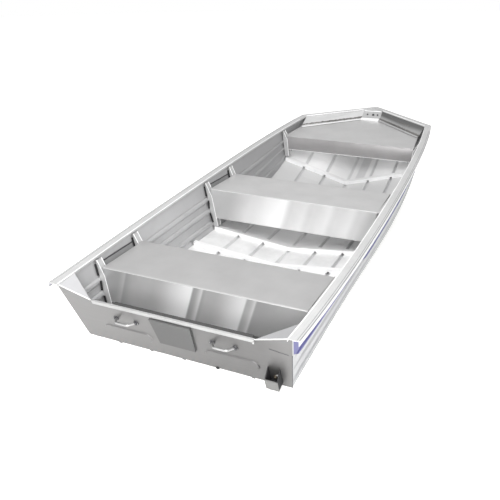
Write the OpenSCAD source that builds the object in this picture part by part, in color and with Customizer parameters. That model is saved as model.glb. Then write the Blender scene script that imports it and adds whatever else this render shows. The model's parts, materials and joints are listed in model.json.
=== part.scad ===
// Sheet aluminium jon boat with a shallow V forefoot and a pointed bow.
// X runs forward to the bow, Y to port and Z up. The origin is on the floor under the middle of the boat.
// Inside the modules, stations are measured forward from the top of the transom.

/* [Hull] */
// Length from the top of the transom to the tip of the bow gunwale
hull_len = 4285; // [3800:5:4900]
// Length of the pointed bow, from its corners to its tip
bow_len = 502; // [400:1:600]
// Beam over the gunwales at the transom
beam_stern = 1500; // [1350:1:1650]
// Beam over the gunwales halfway to the bow corners
beam_mid = 1547; // [1400:1:1700]
// Beam over the gunwales at the bow corners
beam_bow = 1322; // [1150:1:1400]
// Height of the gunwale over the bottom at the transom
stern_depth = 409; // [380:1:460]
// Height of the gunwale at the bow corners
bow_depth = 606; // [550:1:680]
// Rise of the gunwale from the bow corners to the tip
tip_rise = 39; // [15:1:60]
// How far the foot of the transom lies ahead of its top
transom_rake = 160; // [100:1:190]
// Thickness of the hull's sheets
skin_t = 3; // [2:0.5:5]

/* [Bottom] */
// How far each side leans out over its height at the transom
flare_stern = 53; // [30:1:80]
// How far each side leans out halfway along
flare_mid = 78; // [50:1:110]
// How far each side leans out at the bow corners
flare_bow = 8; // [0:1:30]
// Height of the chine along the middle of the boat
chine_mid = 72; // [40:1:90]
// Height of the bow plates at the bow corners
bow_plate_h = 187; // [150:1:220]
// Rise of the bottom from the bow corners to the stem
stem_rise = 56; // [20:1:80]
// How far the foot of the bow lies behind its head
bow_rake = 165; // [100:1:220]
// Depth of the pressed strakes under the bottom
strake_h = 10; // [6:1:16]
// Width of a pressed strake
strake_w = 28; // [20:1:60]
// Distance between strakes
strake_pitch = 215; // [180:1:240]

/* [Sides] */
// Depth of the ridges pressed into the sides
ridge_d = 10; // [6:1:14]
// Width of a pressed ridge
ridge_w = 44; // [30:1:50]
// Width of the gunwale
gunwale_w = 62; // [56:1:80]
// How far the gunwale stands out from the side
gunwale_out = 44; // [34:1:50]
// Height of the gunwale's outer lip
outer_lip = 28; // [20:1:40]
// Height of the gunwale's inner lip
inner_lip = 15; // [10:1:20]
// Thickness of the gunwale
gunwale_t = 3; // [2:0.5:4]
// Width of a side frame along the boat
frame_w = 46; // [34:1:60]
// How far a side frame stands in from the ridges
frame_d = 40; // [25:1:55]
// Width of a floor rib along the boat
rib_w = 36; // [26:1:50]
// Height of a floor rib
rib_h = 32; // [24:1:40]
// Thickness of frames and ribs
frame_t = 3; // [2:0.5:4]

/* [Seats] */
// Station of the stern bench's aft frame
stern_bench_s = 373; // [330:1:420]
// Station of the middle bench's aft frame
middle_bench_s = 1770; // [1600:1:1900]
// Distance between a bench's two frames
bench_depth = 402; // [340:1:460]
// How far the benches' tops lie below the gunwale
bench_drop = 61; // [50:1:90]
// Height of the lower edge of the stern bench's panels
stern_bench_foot = 132; // [100:1:160]
// Height of the lower edge of the middle bench's panels
middle_bench_foot = 184; // [150:1:210]
// Radius of a bench's top edges
bench_edge_r = 14; // [8:1:20]
// Thickness of the benches' sheets
bench_t = 3; // [2:0.5:5]
// Length of the bow deck's aft edge behind the tip of the bow
deck_len = 1030; // [900:5:1100]
// How far the bow deck's aft edge lies below the gunwale of the bow corners
deck_drop = 97; // [80:1:120]
// Rise of the bow deck to its nose
deck_rise = 45; // [20:1:60]
// Height of the panel below the bow deck's aft edge
deck_face_h = 145; // [110:1:170]
// Height of the lip turned up along the bow deck's edges
deck_lip = 14; // [8:1:20]
// How far the bow deck's corners lie behind the bow corners
deck_corner = 215; // [160:1:260]
// Distance of the bow deck's corners from the gunwale's inner edge
deck_inset = 44; // [30:1:60]
// Half width of the flat nose inside the bow
nose_half = 96; // [70:1:120]
// How far the nose of the bow deck lies behind the gunwale
nose_back = 105; // [80:1:130]

/* [Transom] */
// Thickness of the transom
transom_t = 4; // [3:0.5:8]
// Half width of the lowered middle of the transom
notch_half = 496; // [420:1:540]
// How far the middle of the transom lies below the gunwale
notch_drop = 82; // [60:1:110]
// Height of the cap over the transom's top edge
cap_h = 22; // [16:1:30]
// Thickness of that cap
cap_t = 3; // [2:0.5:5]
// Width of the outboard motor's pad at its top
pad_w = 252; // [200:1:300]
// Width of the pad at its foot
pad_foot_w = 224; // [160:1:280]
// Height of the pad
pad_h = 187; // [160:1:210]
// Distance of the pad's top from the top of the transom
pad_drop = 29; // [26:1:40]
// Thickness of the outer pad
pad_t = 12; // [8:1:20]
// Thickness of the board inside the transom
board_t = 30; // [18:1:40]
// Depth of the stiffeners pressed into the transom
stiffener_d = 6; // [3:1:9]
// Height of such a stiffener
stiffener_h = 84; // [60:1:96]

/* [Fittings] */
// Distance of a grab handle's middle from the boat's middle
handle_y = 304; // [280:1:340]
// Distance of a grab handle's feet from the top of the transom
handle_drop = 103; // [90:1:120]
// Distance between a grab handle's feet
handle_feet = 133; // [110:1:150]
// How far a grab handle's legs lean in towards its grip, in degrees
handle_lean = 32; // [20:1:38]
// How far a grab handle stands off the transom
handle_reach = 45; // [38:1:60]
// Diameter of a grab handle's rod
handle_rod = 11; // [8:0.5:14]
// Diameter of a grab handle's flanges
handle_flange = 30; // [24:1:36]
// Distance of the sounder bracket's middle from the boat's middle
bracket_y = 572; // [550:1:585]
// Width of the sounder bracket
bracket_w = 72; // [60:1:90]
// Height of the sounder bracket's plate
bracket_h = 72; // [56:1:80]
// Height of the sounder bracket against the transom
bracket_back_h = 104; // [90:1:120]
// Depth of the sounder bracket
bracket_d = 56; // [48:1:70]
// Wall of the sounder bracket
bracket_t = 5; // [3:0.5:7]
// Bore of the bow eye
eye_bore = 20; // [14:1:24]
// Outer diameter of the bow eye
eye_d = 42; // [36:1:46]
// Thickness of the bow eye
eye_t = 10; // [8:1:14]

/* [Hidden] */
// Clearance where pieces seat on each other
seat = 0.3;
curve = 48;
// How far a cutter reaches past what it cuts
over_cut = 10;
// Short run over which the side's slope is taken at the corner
slope_run = 1;
corner_s = hull_len - bow_len;
corner_low = corner_s - bow_rake;
tip_depth = bow_depth + tip_rise;
chine_bow = bow_depth - bow_plate_h;
stem_foot = chine_bow + stem_rise;
notch_z = stern_depth - notch_drop;
pad_high = notch_z - pad_drop;
pad_low = pad_high - pad_h;
handle_z = notch_z - handle_drop;
deck_z = bow_depth - deck_drop;
transom_tilt = atan(transom_rake / stern_depth);
transom_back = (transom_t + seat) / cos(transom_tilt);
bow_angle = atan2(beam_bow / 2, bow_len);
stem_half = 12;
stem_top_s = hull_len - gunwale_out / sin(bow_angle);
stem_s = stem_top_s - bow_rake;
groove = [18, 34];
groove_d = 2;
gunwale_aft = 14;
x_mid = (hull_len - gunwale_aft) / 2;

// How the lines of the hull bend
sheer_power = 1.27;
fullness = 160;
chine_level_s = 1500;
sweep_len = 2200;
sweep_power = 3.3;
keel_sweep = 1424;
strake_fade = 250;
strake_stop = 700;
shear_len = 600;
side_stations = 22;
bow_stations = 6;
ridge_levels = [0.15, 0.40, 0.62];
ridge_end = 60;
ridge_fade = 200;
strakes = [-2, -1, 0, 1, 2];
limbers = [-2, -1, 1, 2];

// Stations of the frames and ribs, with the cockpit's rib as a share of the way between the benches
cockpit_rib = 0.66;
deck_s = hull_len - deck_len;
middle_fore_s = middle_bench_s + bench_depth;
stern_fore_s = stern_bench_s + bench_depth;
frame_stations = [stern_bench_s, stern_fore_s, middle_bench_s, middle_fore_s, deck_s];
rib_stations = [stern_bench_s, stern_fore_s, lerp(stern_fore_s, middle_bench_s, cockpit_rib), middle_bench_s,
                middle_fore_s, (middle_fore_s + deck_s) / 2, deck_s];

// Small helpers
function lerp(a, b, k) = a + (b - a) * k;
function unit(v) = min(1, max(0, v));
function through(k, a, b, c) = 2 * a * (k - 0.5) * (k - 1) - 4 * b * k * (k - 1) + 2 * c * k * (k - 0.5);
function total(v, i = 0) = i >= len(v) ? [0, 0, 0] : v[i] + total(v, i + 1);
function flip(v) = [for (i = [len(v) - 1:-1:0]) v[i]];

// Lines of the hull: half widths and heights at a station
function full(k) = fullness * pow(max(0, k), 3) * (1 - k) * (2 * k - 1);
function half_beam(s) = through(s / corner_s, beam_stern, beam_mid, beam_bow) / 2 + full(s / corner_s);
function flare(s) = through(s / corner_s, flare_stern, flare_mid, flare_bow);
function chine_half(s) = half_beam(s) - gunwale_out - flare(s);
function sheer(s) = lerp(stern_depth, bow_depth, pow(max(0, s) / corner_s, sheer_power));
function chine_z(s) =
    chine_mid * (1 - pow(1 - unit((s - transom_rake) / (chine_level_s - transom_rake)), 2))
    + (chine_bow - chine_mid) * pow(unit((s - corner_low + sweep_len) / sweep_len), sweep_power);
function keel_z(s) = stem_foot * pow(unit((s - stem_s + keel_sweep) / keel_sweep), 2);

// The bottom sheet, which narrows to the stem ahead of the bow corners
function bow_part(s) = unit((s - corner_low) / (stem_s - corner_low));
function bottom_half(s) = s <= corner_low ? chine_half(s) : lerp(chine_half(corner_low), stem_half, bow_part(s));
function bottom_edge(s) = s <= corner_low ? chine_z(s) : lerp(chine_bow, stem_foot, bow_part(s));
function bottom_z(s, y) = lerp(keel_z(s), bottom_edge(s), abs(y) / bottom_half(s));
station_gap = corner_low / side_stations;
function station_below(s) = station_gap * floor(s / station_gap);
function chord_z(a, s, y) = lerp(bottom_z(a, y), bottom_z(a + station_gap, y), (s - a) / station_gap);
function floor_z(s, y) = max(bottom_z(s, y), chord_z(station_below(s), s, y)) + skin_t + seat;
function strake_depth(s) = strake_h * unit((hull_len - strake_stop - s) / strake_fade);

// The sides: level runs from 0 at the chine to 1 under the gunwale
function side_low(s) = chine_z(s) + skin_t + seat;
function side_top(s) = sheer(s) - gunwale_t - seat;
function side_z(s, level) = lerp(side_low(s), side_top(s), level);
function side_y(s, level) = chine_half(s) + flare(s) * level;
function level_at(s, z) = (z - side_low(s)) / (side_top(s) - side_low(s));
function ridge_depth(s) = ridge_d * unit((s - ridge_end) / ridge_fade) * unit((corner_low - ridge_end - s) / ridge_fade);
function inner_y(s, z) = side_y(s, level_at(s, z)) - skin_t - ridge_d - seat;
function frame_face_y(s, z) = inner_y(s, z) - frame_d - seat;
function rake_shift(s, level) = (transom_rake * (1 - level) + transom_back) * max(0, 1 - s / shear_len);
function bow_shift(s, level) = bow_rake * (1 - level) * max(0, 1 - (corner_s - s) / shear_len);
function transom_s(z) = transom_rake * (1 - z / stern_depth);

// Joins rings of points into a closed solid. Each ring runs along one face and back along the other, and both faces
// are split along the same diagonals, so that the faces of a thin warped sheet never cross.
module loft(rings) {
    n = len(rings[0]);
    last = len(rings) - 1;
    start = total(rings[0]) / n;
    way = total(rings[last]) / n - start;
    turn = total([for (i = [0:n - 1]) cross(rings[0][i] - start, rings[0][(i + 1) % n] - start)]);
    ordered = turn * way > 0 ? rings : [for (r = rings) flip(r)];
    sides = [for (k = [0:last - 1], i = [0:n - 1])
        let (j = (i + 1) % n, a = k * n, b = a + n, back = i >= n / 2 && i < n - 1)
        each (back ? [[a + i, b + i, a + j], [b + i, b + j, a + j]]
                   : [[a + i, b + i, b + j], [a + i, b + j, a + j]])];
    first_cap = [for (i = [0:n / 2 - 2])
        each [[i, i + 1, n - 2 - i], [i, n - 2 - i, n - 1 - i]]];
    last_cap = [for (f = first_cap) [for (i = flip(f)) last * n + i]];
    polyhedron(points = [for (r = ordered) each r], faces = concat(sides, first_cap, last_cap), convexity = 8);
}

// A thin plate under a flat outline that is listed clockwise from above
module plate(outline, thickness) {
    n = len(outline);
    low = [for (p = outline) p - [0, 0, thickness]];
    walls = [for (i = [0:n - 1]) [i, i + n, (i + 1) % n + n, (i + 1) % n]];
    polyhedron(points = concat(outline, low),
               faces = concat([[for (i = [0:n - 1]) i]], [[for (i = [n - 1:-1:0]) i + n]], walls));
}

module place() translate([-x_mid, 0, strake_h]) children();

// Draws its children in the plane of the transom: X to port, Y up the transom, Z inboard from its outer face
module on_transom() translate([transom_rake, 0, 0]) rotate([0, -transom_tilt, 0]) rotate([90, 0, 90]) children();
function up_transom(z) = z / cos(transom_tilt);

module port_or_starboard(side) {
    if (side > 0) children();
    else mirror([0, 1, 0]) children();
}

// Hull sheets
module hull_bottom() color([0.72, 0.72, 0.73]) place() {
    across = [for (k = strakes, q = [[-0.5, 0], [-0.25, 1], [0.25, 1], [0.5, 0]])
        [k * strake_pitch + q[0] * strake_w, q[1]]];
    stations = concat(
        [for (i = [0:side_stations]) let (s = corner_low * i / side_stations) s + rake_shift(s, 0)],
        [for (i = [1:bow_stations]) lerp(corner_low, stem_s, i / bow_stations)]);
    loft([for (s = stations)
        let (half = bottom_half(s), narrow = min(1, half / chine_half(corner_low)))
        let (row = concat([[-half, 0]], [for (q = across) [q[0] * narrow, q[1]]], [[half, 0]]))
        let (under = [for (q = row) [s, q[0], bottom_z(s, q[0]) - q[1] * strake_depth(s)]])
        concat(under, [for (p = flip(under)) p + [0, 0, skin_t]])]);
}

side_profile = concat([[0, 0]],
    [for (c = ridge_levels, q = [[-0.5, 0], [-0.25, 1], [0.25, 1], [0.5, 0]])
        [c + q[0] * ridge_w / stern_depth, q[1]]],
    [[1, 0]]);

module side(port) color([0.72, 0.72, 0.73]) place() port_or_starboard(port)
    loft([for (i = [0:side_stations])
        let (s = corner_s * i / side_stations)
        let (skin = [for (q = side_profile)
            let (p = s + rake_shift(s, q[0]) - bow_shift(s, q[0]))
            [p, side_y(p, q[0]) - q[1] * ridge_depth(p), side_z(p, q[0])]])
        concat(skin, [for (p = flip(skin)) p - [0, skin_t, 0]])]);
module side_port() side(1);
module side_starboard() side(-1);

bow_seam = 3;
module bow_plate(port) color([0.74, 0.74, 0.75]) place() port_or_starboard(port) {
    end_y = stem_half + seat;
    root_in = [0, skin_t / cos(bow_angle), 0];
    end_in = [skin_t / sin(bow_angle), 0, 0];
    root_foot = [corner_low + bow_seam, chine_half(corner_low), side_low(corner_low)];
    root_head = [corner_s + bow_seam, half_beam(corner_s) - gunwale_out, side_top(corner_s)];
    end_foot = [stem_s, end_y, stem_foot + skin_t + seat];
    end_head = [stem_top_s, end_y, tip_depth - gunwale_t - seat];
    loft([[root_foot, root_head, root_head - root_in, root_foot - root_in],
          [end_foot, end_head, end_head - end_in, end_foot - end_in]]);
}
module bow_plate_port() bow_plate(1);
module bow_plate_starboard() bow_plate(-1);

// Round stem that closes the bow between its two plates
stem_gap = 3;
stem_lean = atan2(bow_rake, tip_depth - stem_foot);
stem_low = stem_foot + skin_t + stem_half * sin(stem_lean) + stem_gap;
stem_high = tip_depth - gunwale_t - groove_d - stem_half * sin(stem_lean) - stem_gap;
function stem_axis_s(z) = stem_s - stem_half / 2 + (z - stem_foot) * tan(stem_lean);
module stem() color([0.74, 0.74, 0.75]) place()
    translate([stem_axis_s(stem_low), 0, stem_low]) rotate([0, stem_lean, 0])
    cylinder(r = stem_half, h = (stem_high - stem_low) / cos(stem_lean), $fn = curve);

// Transom plate with its pressed stiffeners, and the cap over its lowered middle
shoulder_gap = 3;
shoulder_in = 8;
transom_shoulder = stern_depth - inner_lip - shoulder_gap;
shoulder_end = beam_stern / 2 - gunwale_w - shoulder_in;
transom_top = [[shoulder_end, transom_shoulder], [notch_half, notch_z],
               [-notch_half, notch_z], [-shoulder_end, transom_shoulder]];
module transom() color([0.66, 0.66, 0.66]) place() on_transom() {
    shoulder_y = side_y(transom_s(transom_shoulder), level_at(0, transom_shoulder));
    foot_half = chine_half(transom_rake);
    foot = [for (k = strakes, q = [[-0.5, 0], [-0.25, -1], [0.25, -1], [0.5, 0]])
        [k * strake_pitch + q[0] * strake_w, q[1] * strake_h]];
    outline = concat([[-foot_half, 0]], foot, [[foot_half, 0], [shoulder_y, transom_shoulder]],
        transom_top, [[-shoulder_y, transom_shoulder]]);
    linear_extrude(transom_t) polygon([for (p = outline) [p[0], up_transom(p[1])]]);
    for (k = [-1, 1]) stiffener(k);
}

stiffener_clear = 40;
stiffener_short = 6;
stiffener_in = pad_w / 2 + stiffener_clear;
stiffener_out = notch_half - stiffener_short;
module stiffener(k) translate([0, up_transom(pad_low), -stiffener_d]) {
    r = stiffener_h / 2;
    for (y = [stiffener_in + r, stiffener_out - r])
        translate([k * y, 0, 0]) cylinder(r1 = r - stiffener_d, r2 = r, h = stiffener_d, $fn = curve);
    long = stiffener_out - stiffener_in - 2 * r;
    translate([k * (stiffener_in + stiffener_out) / 2 - long / 2, 0, 0]) rotate([90, 0, 90])
        linear_extrude(long) polygon([[-r + stiffener_d, 0], [r - stiffener_d, 0], [r, stiffener_d], [-r, stiffener_d]]);
}

module transom_cap() color([0.8, 0.8, 0.8]) place() on_transom() {
    lip = cap_t + seat;
    foot = up_transom(notch_z) - cap_h;
    difference() {
        translate([-notch_half, foot, -lip]) cube([2 * notch_half, cap_h + lip, transom_t + 2 * lip]);
        translate([-notch_half - over_cut, foot - over_cut, -seat])
            cube([2 * (notch_half + over_cut), cap_h + over_cut + seat, transom_t + 2 * seat]);
    }
}

// Sloping plate in each stern corner, which lies on the transom's shoulder from the gunwale down to the cap
gusset_len = 145;
gusset_gap = 4;
gusset_drop = 6;
gusset_lift = frame_t + seat + transom_t * sin(transom_tilt);
shoulder_slope = (transom_shoulder - notch_z) / (shoulder_end - notch_half);
function shoulder_z(y) = notch_z + (y - notch_half) * shoulder_slope + gusset_lift;
module corner_gusset(port) color([0.76, 0.76, 0.76]) place() port_or_starboard(port) {
    high_y = half_beam(0) - gunwale_w - seat;
    low_y = notch_half + gusset_gap;
    plate([[transom_s(shoulder_z(high_y)), high_y, shoulder_z(high_y)],
           [gusset_len, half_beam(gusset_len) - gunwale_w - seat, sheer(gusset_len) - gusset_drop],
           [transom_s(shoulder_z(low_y)), low_y, shoulder_z(low_y)]], frame_t);
}
module corner_gusset_port() corner_gusset(1);
module corner_gusset_starboard() corner_gusset(-1);

// Gunwale channel, open below, with a shallow groove along its top
gunwale_profile = let (t = gunwale_t, a = groove[0], b = groove[1], d = groove_d, w = gunwale_w)
    [[0, -outer_lip], [0, 0], [a, 0], [a + d, -d], [b - d, -d], [b, 0], [w, 0], [w, -inner_lip],
     [w - t, -inner_lip], [w - t, -t], [b, -t], [b - d, -d - t], [a + d, -d - t], [a, -t], [t, -t], [t, -outer_lip]];
corner_slope = half_beam(corner_s) - half_beam(corner_s - slope_run);
side_in = [corner_slope, -slope_run] / norm([corner_slope, slope_run]);
bow_in = [-sin(bow_angle), -cos(bow_angle)];
mitre = (side_in + bow_in) / (1 + side_in * bow_in);

module gunwale(port) color([0.82, 0.82, 0.82]) place() port_or_starboard(port)
    loft(concat(
        [for (i = [0:side_stations - 1])
            let (s = lerp(-gunwale_aft, corner_s, i / side_stations))
            [for (q = gunwale_profile) [s, half_beam(s) - q[0], sheer(s) + q[1]]]],
        [[for (q = gunwale_profile)
            [corner_s + mitre[0] * q[0], half_beam(corner_s) + mitre[1] * q[0], bow_depth + q[1]]]]));
module gunwale_port() gunwale(1);
module gunwale_starboard() gunwale(-1);

module bow_gunwale(port) color([0.82, 0.82, 0.82]) place() port_or_starboard(port)
    loft([[for (q = gunwale_profile)
              [corner_s + seat + mitre[0] * q[0], half_beam(corner_s) + mitre[1] * q[0], bow_depth + q[1]]],
          [for (q = gunwale_profile) [hull_len - q[0] / sin(bow_angle), seat / 2, tip_depth + q[1]]]]);
module bow_gunwale_port() bow_gunwale(1);
module bow_gunwale_starboard() bow_gunwale(-1);

// Inside of the bow: the plate under the gunwale's point, the sloping nose plate and the liners beside it
bow_inside = hull_len - (gunwale_w + seat) / sin(bow_angle);
nose_s = bow_inside - nose_half / tan(bow_angle);
nose_z = lerp(tip_depth, bow_depth, nose_half / (beam_bow / 2));
hook_drop = 4;
hook_gap = 1;
module breasthook() color([0.8, 0.8, 0.8]) place() {
    fore = bow_inside - hook_gap;
    z = tip_depth - hook_drop;
    plate([[fore, 0, z], [nose_s, hook_gap - nose_half, nose_z - hook_drop], [nose_s, nose_half - hook_gap, nose_z - hook_drop]],
          frame_t);
}

deck_aft = deck_s - frame_w / 2;
deck_nose = nose_s - nose_back;
deck_corner_s = corner_s - deck_corner;
deck_corner_y = half_beam(deck_corner_s) - gunwale_w - deck_inset;
function deck_height(s) = deck_z + deck_rise * (s - deck_aft) / (deck_nose - deck_aft);
deck_bow_angle = atan2(deck_corner_y - nose_half, deck_nose - deck_corner_s);
liner_seam = 8;
liner_tuck = 3;
liner_top = inner_lip - liner_tuck;
liner_low_nose = [deck_nose + liner_seam, nose_half, deck_height(deck_nose) + deck_lip];
liner_high_nose = [nose_s, nose_half, nose_z - liner_top];
module nose_plate() color([0.76, 0.76, 0.76]) place()
    loft([for (side = [-1, 1])
        let (low = [liner_low_nose[0], side * nose_half, liner_low_nose[2]])
        let (high = [liner_high_nose[0], side * nose_half, liner_high_nose[2]])
        [low, high, high - [0, 0, frame_t], low - [0, 0, frame_t]]]);
module bow_liner(port) color([0.76, 0.76, 0.76]) place() port_or_starboard(port) {
    low_corner = [deck_corner_s + liner_seam * sin(deck_bow_angle), deck_corner_y + liner_seam * cos(deck_bow_angle),
                  deck_height(deck_corner_s) + deck_lip];
    inner = gunwale_w + seat;
    high_corner = [corner_s + mitre[0] * inner, half_beam(corner_s) + mitre[1] * inner, bow_depth - liner_top];
    step = [0, seat, 0];
    down = [0, 0, frame_t];
    loft([[low_corner, high_corner, high_corner - down, low_corner - down],
          [for (p = [liner_low_nose, liner_high_nose, liner_high_nose - down, liner_low_nose - down]) p + step]]);
}
module bow_liner_port() bow_liner(1);
module bow_liner_starboard() bow_liner(-1);

// Lug with a bore, square to the front of the stem
eye_rise = 78;
eye_z = stem_foot + eye_rise;
eye_foot = 6;
module bow_eye() color([0.7, 0.7, 0.7]) place() translate([stem_axis_s(eye_z), 0, eye_z]) rotate([0, stem_lean, 0])
    translate([stem_half + seat, 0, 0]) difference() {
    reach = eye_d / 2 + eye_foot;
    union() {
        translate([reach, 0, 0]) rotate([90, 0, 0]) cylinder(d = eye_d, h = eye_t, center = true, $fn = curve);
        translate([0, -eye_t / 2, -eye_d / 2]) cube([reach, eye_t, eye_d]);
    }
    translate([reach, 0, 0]) rotate([90, 0, 0]) cylinder(d = eye_bore, h = eye_t + 2 * over_cut, center = true, $fn = curve);
}

// Benches: a folded top with rolled edges over a back and a front panel
bench_lip = 30;
bend_steps = 4;
stern_bench_z = sheer(stern_bench_s) - bench_drop;
middle_bench_z = sheer(middle_bench_s) - bench_drop;
module bench_top(aft_s, top_z) color([0.8, 0.8, 0.8]) place() {
    a = aft_s - frame_w / 2;
    b = aft_s + bench_depth + frame_w / 2;
    r = bench_edge_r;
    bend = [for (i = [0:bend_steps]) 90 * i / bend_steps];
    outer = concat([[a, top_z - bench_lip]],
        [for (q = bend) [a + r - r * cos(q), top_z - r + r * sin(q)]],
        [for (q = bend) [b - r + r * sin(q), top_z - r + r * cos(q)]],
        [[b, top_z - bench_lip]]);
    k = r - bench_t;
    inner = concat([[a + bench_t, top_z - bench_lip]],
        [for (q = bend) [a + r - k * cos(q), top_z - r + k * sin(q)]],
        [for (q = bend) [b - r + k * sin(q), top_z - r + k * cos(q)]],
        [[b - bench_t, top_z - bench_lip]]);
    loft([for (port = [-1, 1]) [for (p = concat(outer, flip(inner))) [p[0], port * frame_face_y(p[0], p[1]), p[1]]]]);
}
module bench_panel(s, top_z, high) color([0.7, 0.7, 0.71]) place()
    loft([for (port = [-1, 1]) [for (p = [[0, -high], [0, 0], [bench_t, 0], [bench_t, -high]])
        [s + p[0], port * frame_face_y(s + p[0], top_z + p[1]), top_z + p[1]]]]);
module bench_aft(aft_s, top_z, foot)
    bench_panel(aft_s - frame_w / 2 + bench_t + seat, top_z - bench_edge_r, top_z - bench_edge_r - foot);
module bench_fore(aft_s, top_z, foot)
    bench_panel(aft_s + bench_depth + frame_w / 2 - 2 * bench_t - seat, top_z - bench_edge_r,
                top_z - bench_edge_r - foot);
module stern_bench_top() bench_top(stern_bench_s, stern_bench_z);
module stern_bench_aft() bench_aft(stern_bench_s, stern_bench_z, stern_bench_foot);
module stern_bench_fore() bench_fore(stern_bench_s, stern_bench_z, stern_bench_foot);
module middle_bench_top() bench_top(middle_bench_s, middle_bench_z);
module middle_bench_aft() bench_aft(middle_bench_s, middle_bench_z, middle_bench_foot);
module middle_bench_fore() bench_fore(middle_bench_s, middle_bench_z, middle_bench_foot);

// Bow deck, a tray whose turned up lips lean outwards
deck_lean = 3;
function deck_half(s) = s <= deck_corner_s
    ? lerp(frame_face_y(deck_aft, deck_z + deck_lip), deck_corner_y, (s - deck_aft) / (deck_corner_s - deck_aft))
    : lerp(deck_corner_y, nose_half, (s - deck_corner_s) / (deck_nose - deck_corner_s));
module bow_deck() color([0.78, 0.78, 0.78]) place()
    loft([for (s = [deck_aft, deck_corner_s, deck_nose])
        let (y = deck_half(s), w = y - deck_lean, z = deck_height(s), t = bench_t, h = deck_height(s) + deck_lip)
        [[s, -y, h], [s, -w, z - t], [s, w, z - t], [s, y, h], [s, y - t, h], [s, w - t, z], [s, t - w, z], [s, t - y, h]]]);
module bow_deck_face() bench_panel(deck_aft + seat, deck_z - bench_t - seat, deck_face_h);

// Floor ribs: channels across the bottom with a limber hole over each strake
rib_inset = 9;
limber_r = 11;
limber_rise = 2;
module rib(i) color([0.76, 0.76, 0.77]) place() difference() {
    s = rib_stations[i];
    h = rib_w / 2;
    t = frame_t;
    section = [[-h, 0], [-h, rib_h], [h, rib_h], [h, 0], [h - t, 0], [h - t, rib_h - t], [t - h, rib_h - t], [t - h, 0]];
    end_y = chine_half(s) - rib_inset;
    loft([for (y = [-end_y, 0, end_y]) [for (q = section) [s + q[0], y, floor_z(s + q[0], y) + q[1]]]]);
    for (k = limbers)
        translate([s, k * strake_pitch, floor_z(s, k * strake_pitch) + limber_rise]) rotate([0, 90, 0])
            cylinder(r = limber_r, h = rib_w + 2 * over_cut, center = true, $fn = curve);
}
module rib_1() rib(0);
module rib_2() rib(1);
module rib_3() rib(2);
module rib_4() rib(3);
module rib_5() rib(4);
module rib_6() rib(5);
module rib_7() rib(6);

// Side frames: channels that stand on the side's ridges, from the ribs up to the gunwale
frame_gap = 4;
module frame(i, port) color([0.78, 0.78, 0.78]) place() port_or_starboard(port) {
    s = frame_stations[i];
    h = frame_w / 2;
    t = frame_t;
    d = frame_d;
    section = [[-h, 0], [-h, d], [h, d], [h, 0], [h - t, 0], [h - t, d - t], [t - h, d - t], [t - h, 0]];
    low = floor_z(s + h, chine_half(s)) + rib_h + frame_gap;
    high = sheer(s) - inner_lip - frame_gap;
    loft([for (z = [low, high]) [for (q = section) [s + q[0], inner_y(s + q[0], z) - q[1], z]]]);
}
module frame_1_port() frame(0, 1);
module frame_1_starboard() frame(0, -1);
module frame_2_port() frame(1, 1);
module frame_2_starboard() frame(1, -1);
module frame_3_port() frame(2, 1);
module frame_3_starboard() frame(2, -1);
module frame_4_port() frame(3, 1);
module frame_4_starboard() frame(3, -1);
module frame_5_port() frame(4, 1);
module frame_5_starboard() frame(4, -1);

// Pads that the outboard motor clamps to
module pad_outline(wide, foot_wide, low, high) polygon([
    [-foot_wide / 2, up_transom(low)], [foot_wide / 2, up_transom(low)],
    [wide / 2, up_transom(high)], [-wide / 2, up_transom(high)]]);
module motor_pad() color([0.5, 0.5, 0.5]) place() on_transom()
    translate([0, 0, -pad_t - seat]) linear_extrude(pad_t) pad_outline(pad_w, pad_foot_w, pad_low, pad_high);
module motor_board() color([0.6, 0.6, 0.6]) place() on_transom()
    translate([0, 0, transom_t + seat]) linear_extrude(board_t) pad_outline(pad_w, pad_w, pad_low, pad_high);

// Grab handles bent from rod that stand straight aft, slightly swollen where it is bent, on round flanges
handle_flange_t = 5;
handle_swell = 1.1;
handle_half = handle_feet / 2 - handle_reach * tan(handle_lean);
module handle(port) color([0.85, 0.85, 0.85]) place() on_transom()
    translate([port * handle_y, up_transom(handle_z), -seat]) {
    rotate([transom_tilt, 0, 0]) {
        translate([-handle_half, 0, -handle_reach]) rotate([0, 90, 0])
            cylinder(d = handle_rod, h = 2 * handle_half, $fn = curve);
        for (k = [-1, 1]) translate([k * handle_half, 0, -handle_reach]) {
            sphere(d = handle_rod * handle_swell, $fn = curve);
            rotate([0, k * handle_lean, 0])
                cylinder(d = handle_rod, h = (handle_reach - handle_flange_t) / cos(handle_lean), $fn = curve);
        }
    }
    for (k = [-1, 1]) translate([k * handle_feet / 2, 0, -handle_flange_t])
        cylinder(d = handle_flange, h = handle_flange_t, $fn = curve);
}
module handle_port() handle(1);
module handle_starboard() handle(-1);

// Open pocket for a sounder, low on the starboard half of the transom, with its aluminium plate
bracket_low = 31;
module sounder_bracket() color([0.12, 0.12, 0.12]) place() on_transom()
    translate([-bracket_y, up_transom(bracket_low), -seat]) {
    for (x = [-bracket_w / 2 + bracket_t, bracket_w / 2]) translate([x, 0, 0]) bracket_cheek();
    translate([-bracket_w / 2, 0, -bracket_d]) cube([bracket_w, bracket_t, bracket_d]);
}
module bracket_cheek() rotate([0, -90, 0]) linear_extrude(bracket_t) polygon([
    [-bracket_d, 0], [0, 0], [0, up_transom(bracket_back_h)], [-bracket_d, up_transom(bracket_h)]]);
module sounder_plate() color([0.75, 0.75, 0.75]) place() on_transom()
    translate([-bracket_y - bracket_w / 2, up_transom(bracket_low), -2 * seat - bracket_d - bracket_t])
    cube([bracket_w, up_transom(bracket_h), bracket_t]);

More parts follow.
